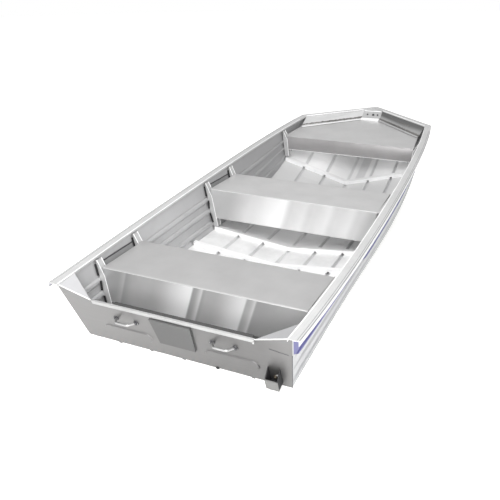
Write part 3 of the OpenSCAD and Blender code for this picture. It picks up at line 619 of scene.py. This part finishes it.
# %% [markdown]
# The imported sheets have no bent wire, sealant or bolts. Those come next, each as a closed mesh that
# rides on the boat and wears one finish. Where a new piece reworks a packed one, it starts from a copy
# whose loose triangles are merged first.

# %% Helpers for new pieces
MERGE_WITHIN = 0.00001
SHARP_DEGREES = 40
SIDES = {"port": 1, "starboard": -1}


def new_piece(name, shape, finish):
    """A closed mesh that rides on the boat and wears one finish."""
    bmesh.ops.remove_doubles(shape, verts=shape.verts, dist=MERGE_WITHIN)
    bmesh.ops.recalc_face_normals(shape, faces=shape.faces)
    open_edges = sum(1 for edge in shape.edges if not edge.is_manifold)
    mesh = bpy.data.meshes.new(name)
    shape.to_mesh(mesh)
    shape.free()
    mesh.shade_smooth()
    mesh.set_sharp_from_angle(angle=math.radians(SHARP_DEGREES))
    mesh.materials.append(finishes[finish])
    piece = bpy.data.objects.new(name, mesh)
    bpy.context.collection.objects.link(piece)
    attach(piece, "root")
    print(name, len(mesh.polygons), "faces,", open_edges, "open edges")
    return piece


def packed_copy(name):
    """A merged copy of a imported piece's mesh."""
    shape = bmesh.new()
    shape.from_mesh(nodes[name].data)
    bmesh.ops.remove_doubles(shape, verts=shape.verts, dist=MERGE_WITHIN)
    return shape


def mirrored(point, sign):
    """A point of the port side, or its mirror image to starboard for a sign of -1."""
    return Vector((point[0], sign * point[1], point[2]))


print("piece helpers ready")

# %% [markdown]
# Rods come first, since most small things here are rods. A curve with a bevel could be one, but a mesh
# keeps the ends closed and the bends exact: straight runs are extruded from a ring, and each corner is
# spun round its bending centre, as a bending tool does it.

# %% Rods
def facing_matrix(place, way):
    """A matrix that puts a shape's own Z along a direction at a place."""
    return Matrix.Translation(place) @ Vector(way).to_track_quat("Z", "Y").to_matrix().to_4x4()


def start_ring(shape, place, way, radius, sides):
    """A circle of edges square to a direction."""
    circle = bmesh.ops.create_circle(shape, segments=sides, radius=radius, matrix=facing_matrix(place, way))
    return list({edge for vert in circle["verts"] for edge in vert.link_edges})


def grow(shape, edges, shift):
    """Extrudes a ring of edges by a shift and gives the new ring."""
    grown = bmesh.ops.extrude_edge_only(shape, edges=edges)["geom"]
    verts = [part for part in grown if isinstance(part, bmesh.types.BMVert)]
    bmesh.ops.translate(shape, verts=verts, vec=shift)
    fresh = set(verts)
    return [part for part in grown if isinstance(part, bmesh.types.BMEdge) and fresh.issuperset(part.verts)]


def bent_rod(shape, corners, radius, bend, sides=12, steps=6):
    """A closed round rod along corners, turned round a bend of one radius at each inner corner."""
    points = [Vector(corner) for corner in corners]
    at = points[0]
    ring = start_ring(shape, at, points[1] - at, radius, sides)
    ends = list(ring)
    for here, after in zip(points[1:-1], points[2:]):
        ahead = (here - at).normalized()
        leaving = (after - here).normalized()
        angle = ahead.angle(leaving)
        back = bend * math.tan(angle / 2)
        ring = grow(shape, ring, here - ahead * back - at)
        at = here - ahead * back
        axis = ahead.cross(leaving).normalized()
        centre = at + axis.cross(ahead) * bend
        spun = bmesh.ops.spin(shape, geom=ring, cent=centre, axis=axis, angle=angle, steps=steps)
        ring = [part for part in spun["geom_last"] if isinstance(part, bmesh.types.BMEdge)]
        at = here + leaving * back
    ring = grow(shape, ring, points[-1] - at)
    bmesh.ops.holes_fill(shape, edges=ends + ring, sides=0)


def laid_rod(shape, points, radius, sides=8):
    """A closed round rod through points whose direction hardly changes."""
    points = [Vector(point) for point in points]
    ring = start_ring(shape, points[0], points[-1] - points[0], radius, sides)
    ends = list(ring)
    for here, after in zip(points, points[1:]):
        ring = grow(shape, ring, after - here)
    bmesh.ops.holes_fill(shape, edges=ends + ring, sides=0)


def rod_piece(name, points, radius, finish):
    """A piece that is a single laid rod."""
    shape = bmesh.new()
    laid_rod(shape, points, radius)
    return new_piece(name, shape, finish)


print("rod helpers ready")

# %% [markdown]
# Plates and bolts are primitives with bevelled edges. The bevel matters more than the shape: a small
# rounded edge catches a line of light that a sharp one never shows.

# %% Slabs and studs
BEVEL = {"affect": "EDGES", "segments": 2, "profile": 0.5, "material": -1}


def slab(shape, low, high, edge):
    """A box between two corners with rounded edges."""
    low = Vector(low)
    high = Vector(high)
    place = Matrix.Translation((low + high) / 2) @ Matrix.Diagonal((*(high - low), 1))
    verts = bmesh.ops.create_cube(shape, size=1, matrix=place)["verts"]
    edges = list({part for vert in verts for part in vert.link_edges})
    bmesh.ops.bevel(shape, geom=edges, offset=edge, **BEVEL)


def stud(shape, foot, way, radius, height, edge, sides=16):
    """A short round or six-sided boss that stands on foot, with a rounded rim."""
    middle = Vector(foot) + Vector(way).normalized() * height / 2
    cone = bmesh.ops.create_cone(shape, cap_ends=True, segments=sides, radius1=radius, radius2=radius,
                                 depth=height, matrix=facing_matrix(middle, way))
    caps = {face for vert in cone["verts"] for face in vert.link_faces if len(face.verts) == sides}
    edges = list({part for face in caps for part in face.edges})
    bmesh.ops.bevel(shape, geom=edges, offset=edge, **BEVEL)


print("slab and stud helpers ready")

# %% [markdown]
# The grab handles are one rod each, bent at two corners and held in two dark feet that are bolted to
# the transom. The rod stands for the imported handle, which has sharp corners. The feet stand square to
# the transom, so their direction is its outward normal.

# %% Grab handles
HANDLE_Y, HALF_FEET, HALF_GRIP = 0.304, 0.0665, 0.0384
FOOT_X, GRIP_X, HANDLE_Z = -2.0631, -2.1081, 0.234
ROD_RADIUS, ROD_BEND = 0.0068, 0.016
FROM_TRANSOM = Vector((-0.9313, 0, -0.3643))
FLANGE, FLANGE_OUT = {"radius": 0.017, "height": 0.005, "edge": 0.0015, "sides": 24}, -0.001
COLLAR, COLLAR_OUT = {"radius": 0.0110, "height": 0.010, "edge": 0.002}, 0.0035
SMALL_BOLT, BOLT_OUT = {"radius": 0.0032, "height": 0.004, "edge": 0.0008, "sides": 6}, 0.0038
BOLT_UP, BOLT_ASIDE = 0.0105, 0.0115
for side, sign in SIDES.items():
    middle = sign * HANDLE_Y
    rod = bmesh.new()
    bent_rod(rod, [(FOOT_X, middle + HALF_FEET, HANDLE_Z), (GRIP_X, middle + HALF_GRIP, HANDLE_Z),
                   (GRIP_X, middle - HALF_GRIP, HANDLE_Z), (FOOT_X, middle - HALF_FEET, HANDLE_Z)],
             ROD_RADIUS, ROD_BEND)
    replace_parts(new_piece("handle_rod_" + side, rod, "bright_rod"), "handle_" + side)
    feet = bmesh.new()
    bolts = bmesh.new()
    for end in (-1, 1):
        foot = Vector((FOOT_X, middle + end * HALF_FEET, HANDLE_Z))
        stud(feet, foot + FROM_TRANSOM * FLANGE_OUT, FROM_TRANSOM, **FLANGE)
        stud(feet, foot + FROM_TRANSOM * COLLAR_OUT, FROM_TRANSOM, **COLLAR)
        for shift in ((0, 0, BOLT_UP), (0, end * BOLT_ASIDE, 0)):
            stud(bolts, foot + FROM_TRANSOM * BOLT_OUT + Vector(shift), FROM_TRANSOM, **SMALL_BOLT)
    new_piece("handle_feet_" + side, feet, "dark_steel")
    new_piece("handle_bolts_" + side, bolts, "bright_rod")

# %% [markdown]
# Folded sheet never ends in a sharp corner, and a bench's edge is hemmed. A rod laid along the edge
# gives the thin bright line that such a hem shows. Each bench's aft panel is a copy of the imported one,
# moved flush with the turned edge of the top and carried up to the hem, so that its painted reflections
# run through.

# %% Hems and panels of the benches
HEM_RADIUS, HEM_SHORT, HEM_DROP = 0.0018, 0.012, 0.003
PANEL_SHIFT, PANEL_DROP = -0.0040, 0.004
AT_TOP = 0.001
for bench in ("stern_bench", "middle_bench"):
    low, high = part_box(bench + "_top")
    hem_height = high[2] - HEM_DROP
    hem_ends = [(low[0], low[1] + HEM_SHORT, hem_height), (low[0], high[1] - HEM_SHORT, hem_height)]
    rod_piece(bench + "_hem", hem_ends, HEM_RADIUS, "extrusion")
    panel = packed_copy(bench + "_aft")
    panel_top = max(vert.co.z for vert in panel.verts)
    bmesh.ops.translate(panel, verts=panel.verts, vec=(PANEL_SHIFT, 0, 0))
    upper = [vert for vert in panel.verts if vert.co.z > panel_top - AT_TOP]
    bmesh.ops.translate(panel, verts=upper, vec=(0, 0, high[2] - PANEL_DROP - panel_top))
    finish = bench.replace("bench", "panel")
    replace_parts(new_piece(bench + "_panel", panel, finish), bench + "_aft")

# %% [markdown]
# The deck's facing is cut again here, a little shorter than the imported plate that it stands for,
# narrower at its foot and with a hem along its lower edge. It is a slab whose lower corners are moved
# in, which is simpler than cutting it.

# %% Facing of the deck
FACING_FOOT, FACING_ROUND, FACING_SHORT = 0.392, 0.001, 0.003
FACING_TAPER, HEM_REACH = 0.985, 0.98
low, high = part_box("bow_deck_face")
facing = bmesh.new()
facing_low = (low[0], low[1] + FACING_SHORT, FACING_FOOT)
facing_high = (high[0], high[1] - FACING_SHORT, high[2])
slab(facing, facing_low, facing_high, FACING_ROUND)
for vert in facing.verts:
    if vert.co.z < FACING_FOOT + 2 * FACING_ROUND:
        vert.co.y *= FACING_TAPER
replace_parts(new_piece("deck_facing", facing, "deck_panel"), "bow_deck_face")
hem_ends = [(low[0], edge * HEM_REACH, FACING_FOOT) for edge in (low[1], high[1])]
rod_piece("deck_facing_hem", hem_ends, HEM_RADIUS, "frame_sheet")

# %% [markdown]
# The deck's edge is turned up all round the bow. A rod along each side and a short bar at the nose
# stand for the rounded lip. The lip to port and the bar face the light, so they have the brightest
# finish.

# %% Lips of the deck
DECK_CORNER, DECK_NOSE = Vector((1.4383, 0.587, 0.552)), Vector((1.8934, 0.096, 0.578))
LIP_INSET, LIP_RADIUS = Vector((-0.010, -0.012, -0.006)), 0.006
NOSE_BAR, BAR_ROUND = ((1.8740, -0.092, 0.562), (1.8860, 0.092, 0.5860)), 0.002
lip_ends = [DECK_CORNER + LIP_INSET, DECK_NOSE + LIP_INSET]
lip = bmesh.new()
laid_rod(lip, lip_ends, LIP_RADIUS)
slab(lip, *NOSE_BAR, BAR_ROUND)
new_piece("deck_lip_bright", lip, "frame_sheet")
starboard_ends = [mirrored(point, -1) for point in lip_ends]
rod_piece("deck_lip_starboard", starboard_ends, LIP_RADIUS, "bench_sheet")

# %% [markdown]
# Where the bow liners meet the deck, a bead of sealant was run by hand. It is a rod made in many short
# steps, whose skin is then pushed in and out by smooth noise, so that it looks laid and not machined.

# %% Sealant along the liners
LINER_LOW = (Vector((1.4383, 0.587, 0.552)), Vector((1.9014, 0.0963, 0.578)))
LINER_HIGH = (Vector((1.6139, 0.6023, 0.604)), Vector((1.9984, 0.0963, 0.6373)))
BEAD_RADIUS, BEAD_LUMP, BEAD_STEPS, LUMP_TURNS = 0.009, 0.6, 60, 55
BEADS = {"port": [(0.10, 0.0, 1.0)], "starboard": [(0.06, 0.0, 1.0), (0.52, 0.28, 0.72)]}


def on_liner(end, share, sign):
    """A point on a liner: end 0 is the corner and 1 the nose, share runs from its low to its high edge."""
    return mirrored(LINER_LOW[end].lerp(LINER_HIGH[end], share), sign)


def hand_laid_bead(shape, start, end):
    """Adds a lumpy rod from start to end to a shape."""
    bead = bmesh.new()
    laid_rod(bead, [start.lerp(end, step / BEAD_STEPS) for step in range(BEAD_STEPS + 1)], BEAD_RADIUS)
    run = end - start
    for vert in bead.verts:
        core = start + run * ((vert.co - start).dot(run) / run.length_squared)
        vert.co = core + (vert.co - core) * (1 + BEAD_LUMP * noise.noise(vert.co * LUMP_TURNS))
    carrier = bpy.data.meshes.new("bead")
    bead.to_mesh(carrier)
    bead.free()
    shape.from_mesh(carrier)
    bpy.data.meshes.remove(carrier)


for side, sign in SIDES.items():
    sealant = bmesh.new()
    for share, begin, stop in BEADS[side]:
        corner, nose = on_liner(0, share, sign), on_liner(1, share, sign)
        hand_laid_bead(sealant, corner.lerp(nose, begin), corner.lerp(nose, stop))
    new_piece("sealant_" + side, sealant, "sealant")

# %% [markdown]
# The nose plate is held by three dark nuts of different sizes, and a bright strip closes the edge above
# it. Six-sided studs are enough for nuts of this size.

# %% Nuts and strip at the nose
NOSE_NORMAL, NOSE_MIDDLE = Vector((-0.5216, 0, 0.8532)), Vector((1.950, 0, 0.6078))
NUT = {"height": 0.007, "edge": 0.0015, "sides": 6}
NUT_ROW = ((-0.060, 0.009), (-0.014, 0.013), (0.046, 0.008))
NOSE_STRIP, STRIP_EDGE = ((1.9850, -0.090, 0.632), (1.9975, 0.090, 0.6415)), 0.002
nuts = bmesh.new()
for across, radius in NUT_ROW:
    stud(nuts, NOSE_MIDDLE + Vector((0, across, 0)), NOSE_NORMAL, radius, **NUT)
new_piece("nose_nuts", nuts, "dark_steel")
strip = bmesh.new()
slab(strip, *NOSE_STRIP, STRIP_EDGE)
new_piece("nose_strip", strip, "frame_sheet")

# %% [markdown]
# The gunwale is an extruded channel. Along its inner edge a near-white rod on the rim is a painted
# highlight, and along its outer one dark grey rods in a shallow groove and on the edge are painted
# shade. Its line is already in the imported mesh, so the rods are laid through the mesh's own corner
# points: at each station, the innermost of the highest points. Round the bow the edges are straight, so
# two points are enough.

# %% Rims, grooves and edges of the gunwales
GUNWALE_WIDTH, WIDTH_SLACK, HEIGHT_WEIGHT, TO_MILLIMETRES = 0.062, 0.002, 10, 3
RIM_RADIUS, RIM_IN, RIM_DROP = 0.0035, 0.003, 0.001
GROOVE_RADIUS, GROOVE_IN, GROOVE_DROP = 0.0020, 0.014, 0.001
EDGE_RADIUS, EDGE_IN = 0.0030, 0.002
BOW_RIM, BOW_RIM_RADIUS = ((1.6160, 0.6030, 0.6150), (1.9960, 0.1010, 0.6475)), 0.0050
BOW_EDGE = ((1.6462, 0.6582, 0.6140), (2.1440, 0.0060, 0.6528))


def gunwale_line(side):
    """The inner top edge of a side's gunwale, from the stern to its last square station."""
    stations = {}
    for vert in nodes["gunwale_" + side].data.vertices:
        stations.setdefault(round(vert.co.x, TO_MILLIMETRES), []).append(vert.co)
    line = []
    for x in sorted(stations):
        spread = [abs(point.y) for point in stations[x]]
        if max(spread) - min(spread) > GUNWALE_WIDTH - WIDTH_SLACK:
            inner = min(stations[x], key=lambda point: abs(point.y) - HEIGHT_WEIGHT * point.z)
            line.append(inner.copy())
    line[0].x += 2 * RIM_RADIUS
    return line


for side, sign in SIDES.items():
    line = gunwale_line(side)
    rim_line = [point + Vector((0, sign * RIM_IN, -RIM_DROP)) for point in line]
    # Painted highlight along the rim.
    rod_piece("gunwale_rim_" + side, rim_line, RIM_RADIUS, "frame_sheet")
    groove_shift = Vector((0, sign * (GUNWALE_WIDTH - GROOVE_IN), -GROOVE_DROP))
    groove_line = [point + groove_shift for point in line]
    # Painted shade in the groove.
    rod_piece("gunwale_groove_" + side, groove_line, GROOVE_RADIUS, "groove_grey")
    bow_rim = [mirrored(point, sign) for point in BOW_RIM]
    rod_piece("bow_rim_" + side, bow_rim, BOW_RIM_RADIUS, "frame_sheet")
    # Painted shade along the outer edge.
    edge_shift = Vector((0, sign * (GUNWALE_WIDTH - EDGE_IN), -EDGE_IN))
    outer_edge = bmesh.new()
    laid_rod(outer_edge, [point + edge_shift for point in line], EDGE_RADIUS)
    laid_rod(outer_edge, [mirrored(point, sign) for point in BOW_EDGE], EDGE_RADIUS)
    new_piece("gunwale_edge_" + side, outer_edge, "groove_grey")
    print(side, "gunwale line of", len(line), "points")

# %% [markdown]
# The side frames are folded channels with their web towards the middle of the boat. Near the top a
# frame is drawn in towards the sheet, so that it slips under the gunwale, and its two folds catch the
# light. The copy of a imported frame is cut at a knee with a bisecting plane, its top is pushed outward
# and a near-white rod laid on each fold is a painted highlight.

# %% Side frames
KNEE_SHARE, TOP_SHARE, FOLD_RADIUS = 0.70, 0.25, 0.0026
FRAME_COUNT, STATION_SLACK = 5, 0.0005


def fold_line(channel, x):
    """The innermost points of a channel at one station, from its foot to its top."""
    levels = {}
    for vert in channel.verts:
        if abs(vert.co.x - x) < STATION_SLACK:
            levels.setdefault(round(vert.co.z, TO_MILLIMETRES), []).append(vert.co.copy())
    return [min(levels[level], key=lambda point: abs(point.y)) for level in sorted(levels)]


for side, sign in SIDES.items():
    folds = bmesh.new()
    for number in range(1, FRAME_COUNT + 1):
        name = "frame_%d_%s" % (number, side)
        low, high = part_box(name)
        channel = packed_copy(name)
        knee = low[2] + (high[2] - low[2]) * KNEE_SHARE
        whole = channel.verts[:] + channel.edges[:] + channel.faces[:]
        bmesh.ops.bisect_plane(channel, geom=whole, plane_co=(0, 0, knee), plane_no=(0, 0, 1))
        top = [vert for vert in channel.verts if vert.co.z > high[2] - AT_TOP]
        sheet = max(abs(vert.co.y) for vert in top)
        for vert in top:
            vert.co.y = sign * (sheet - (sheet - abs(vert.co.y)) * TOP_SHARE)
        for x in (low[0], high[0]):
            # Painted highlight on each fold.
            laid_rod(folds, fold_line(channel, x), FOLD_RADIUS)
        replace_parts(new_piece("channel_%d_%s" % (number, side), channel, "frame_web"), name)
    new_piece("frame_folds_" + side, folds, "frame_sheet")

# %% [markdown]
# A side frame bridges the pressed ridges, so shaded gaps show beside it between them. A near-black
# strip laid in each gap is painted shadow. Where the sheet lies is measured: a ray goes out from the
# boat's middle to the side.

# %% Painted shadow strips beside the frames
SHADOW_STRIP_RADIUS, SHEET_OFFSET = 0.0065, 0.006
SHADOW_STRIP_FRAMES = (1, 2, 3, 4)
SHADOW_STRIP_SPANS = ((0.10, 0.30), (0.42, 0.60), (0.70, 0.92))
side_tree = {}
for side in SIDES:
    skin = nodes["side_" + side].data
    corners = [vert.co for vert in skin.vertices]
    side_tree[side] = BVHTree.FromPolygons(corners, [face.vertices for face in skin.polygons])


def sheet_inside(side, x, z):
    """A point just inside a side's sheet at a station and a height."""
    outward = Vector((0, SIDES[side], 0))
    hit = side_tree[side].ray_cast(Vector((x, 0, z)), outward)[0]
    return hit - outward * SHEET_OFFSET


for side in SIDES:
    shadow_strips = bmesh.new()
    for number in SHADOW_STRIP_FRAMES:
        low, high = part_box("frame_%d_%s" % (number, side))
        x = low[0] - SHADOW_STRIP_RADIUS
        for span in SHADOW_STRIP_SPANS:
            heights = [low[2] + (high[2] - low[2]) * share for share in span]
            # Painted shadow: a near-black strip in each gap beside a frame.
            laid_rod(shadow_strips, [sheet_inside(side, x, z) for z in heights], SHADOW_STRIP_RADIUS)
    new_piece("frame_shadow_" + side, shadow_strips, "bracket_black")

# %% [markdown]
# Above each bench a thin dark line along the port side, between the two frames, is painted shadow. Its
# points are found on the sheet in the same way.

# %% Painted shadow lines above the benches
SHADOW_LINE_UP, SHADOW_LINE_THIN, SHADOW_LINE_PARTS = 0.005, 0.0045, 8
SHADOW_LINE_FRAMES = {"stern_bench": ("frame_1_port", "frame_2_port"),
               "middle_bench": ("frame_3_port", "frame_4_port")}
to_sheet = Vector((0, SHEET_OFFSET - SHADOW_LINE_THIN / 2, 0))
shadow_lines = bmesh.new()
for bench, (aft_frame, fore_frame) in SHADOW_LINE_FRAMES.items():
    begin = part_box(aft_frame)[1][0]
    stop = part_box(fore_frame)[0][0]
    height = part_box(bench + "_top")[1][2] + SHADOW_LINE_UP
    stations = [begin + (stop - begin) * part / SHADOW_LINE_PARTS for part in range(SHADOW_LINE_PARTS + 1)]
    # Painted shadow: a thin dark line along the port side above the bench.
    laid_rod(shadow_lines, [sheet_inside("port", x, height) + to_sheet for x in stations], SHADOW_LINE_THIN)
new_piece("bench_shadow_lines", shadow_lines, "dark_steel")

# %% [markdown]
# A strip of sheet closes the gap between each bench top and the starboard side. It reaches the side's
# sheet where a ray finds it.

# %% End strips of the benches
STRIP_DROP, STRIP_THICK, STRIP_SHORT, STRIP_LAP, STRIP_ROUND = 0.001, 0.003, 0.001, 0.002, 0.0008
STRIP_FINISH = {"stern_bench": "stern_bench_sheet", "middle_bench": "bench_sheet"}
for bench, finish in STRIP_FINISH.items():
    low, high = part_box(bench + "_top")
    middle = (low[0] + high[0]) / 2
    strip_top = high[2] - STRIP_DROP
    reach = sheet_inside("starboard", middle, strip_top).y
    strip = bmesh.new()
    slab(strip, (low[0] + STRIP_SHORT, reach, strip_top - STRIP_THICK),
         (high[0] - STRIP_SHORT, low[1] + STRIP_LAP, strip_top), STRIP_ROUND)
    new_piece(bench + "_end_strip", strip, finish)

# %% [markdown]
# The cap on the transom's notch ends in a small tab to starboard, and a dark strip runs along its inner
# edge. Both are slabs placed from the cap's own box.

# %% Tab and dark strip of the cap
TAB_LOW, TAB_HIGH = Vector((0.001, -0.496, -0.004)), Vector((0.007, -0.486, 0.008))
CAP_STRIP_LOW, CAP_STRIP_HIGH = Vector((-0.0005, -0.480, -0.012)), Vector((0.024, 0.362, -0.002))
TAB_ROUND, CAP_STRIP_ROUND = 0.0015, 0.002
low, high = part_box("transom_cap")
outer_foot = Vector((low[0], 0, low[2]))
inner_top = Vector((high[0], 0, high[2]))
tab = bmesh.new()
slab(tab, outer_foot + TAB_LOW, outer_foot + TAB_HIGH, TAB_ROUND)
new_piece("cap_tab", tab, "cap_sheet")
cap_strip = bmesh.new()
slab(cap_strip, inner_top + CAP_STRIP_LOW, inner_top + CAP_STRIP_HIGH, CAP_STRIP_ROUND)
new_piece("cap_dark_strip", cap_strip, "seal_rubber")

# %% [markdown]
# The transom's shoulders are hemmed like the benches. Near the starboard corner a thin dark line is
# painted shade along a crease, and another, down the corner itself, is painted shade too; it is found
# from the transom's own outermost points.

# %% Shoulder hems and painted shade lines at the corner
SHOULDER, SHOULDER_RADIUS = ((-2.1066, 0.500, 0.3418), (-2.1322, 0.6877, 0.4071)), 0.0028
CREASE_SHADE, CREASE_SHADE_RADIUS = ((-2.0872, -0.569, 0.293), (-2.0817, -0.672, 0.279)), 0.0013
CORNER_SPAN, CORNER_RADIUS, FOOT_BELOW = (0.02, 0.70), 0.0022, 0.05
CORNER_SHIFT = FROM_TRANSOM * 0.004 + Vector((0, -0.0030, 0))
hems = bmesh.new()
for sign in SIDES.values():
    laid_rod(hems, [mirrored(point, sign) for point in SHOULDER], SHOULDER_RADIUS)
new_piece("shoulder_hems", hems, "frame_sheet")
shade_lines = bmesh.new()
# Painted shade: a thin dark line along the crease.
laid_rod(shade_lines, CREASE_SHADE, CREASE_SHADE_RADIUS)
edge_points = [vert.co for vert in nodes["transom"].data.vertices]
corner_top = min(edge_points, key=lambda point: point.y)
corner_foot = min((point for point in edge_points if point.z < FOOT_BELOW), key=lambda point: point.y)
# Painted shade: a dark line down the corner.
laid_rod(shade_lines, [corner_foot.lerp(corner_top, share) + CORNER_SHIFT for share in CORNER_SPAN], CORNER_RADIUS)
new_piece("corner_shade_lines", shade_lines, "dark_steel")

# %% [markdown]
# Last come a dark round stud at the foot of the transom and the bolt that holds the sounder bracket.
# Both are studs that stand square to the transom, and the bolt has six sides.

# %% Dark stud and bracket bolt
DARK_STUD_FOOT, DARK_STUD = (-1.9735, -0.215, 0.0125), {"radius": 0.009, "height": 0.008, "edge": 0.002}
BRACKET_BOLT = {"radius": 0.006, "height": 0.008, "edge": 0.0015, "sides": 6}
BRACKET_BOLT_IN = Vector((0.030, 0.012, -0.030))
dark_stud = bmesh.new()
stud(dark_stud, DARK_STUD_FOOT, FROM_TRANSOM, **DARK_STUD)
new_piece("stern_dark_stud", dark_stud, "bracket_black")
low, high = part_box("sounder_bracket")
bolt = bmesh.new()
stud(bolt, Vector((low[0], low[1], high[2])) + BRACKET_BOLT_IN, FROM_TRANSOM, **BRACKET_BOLT)
new_piece("bracket_bolt", bolt, "bright_rod")
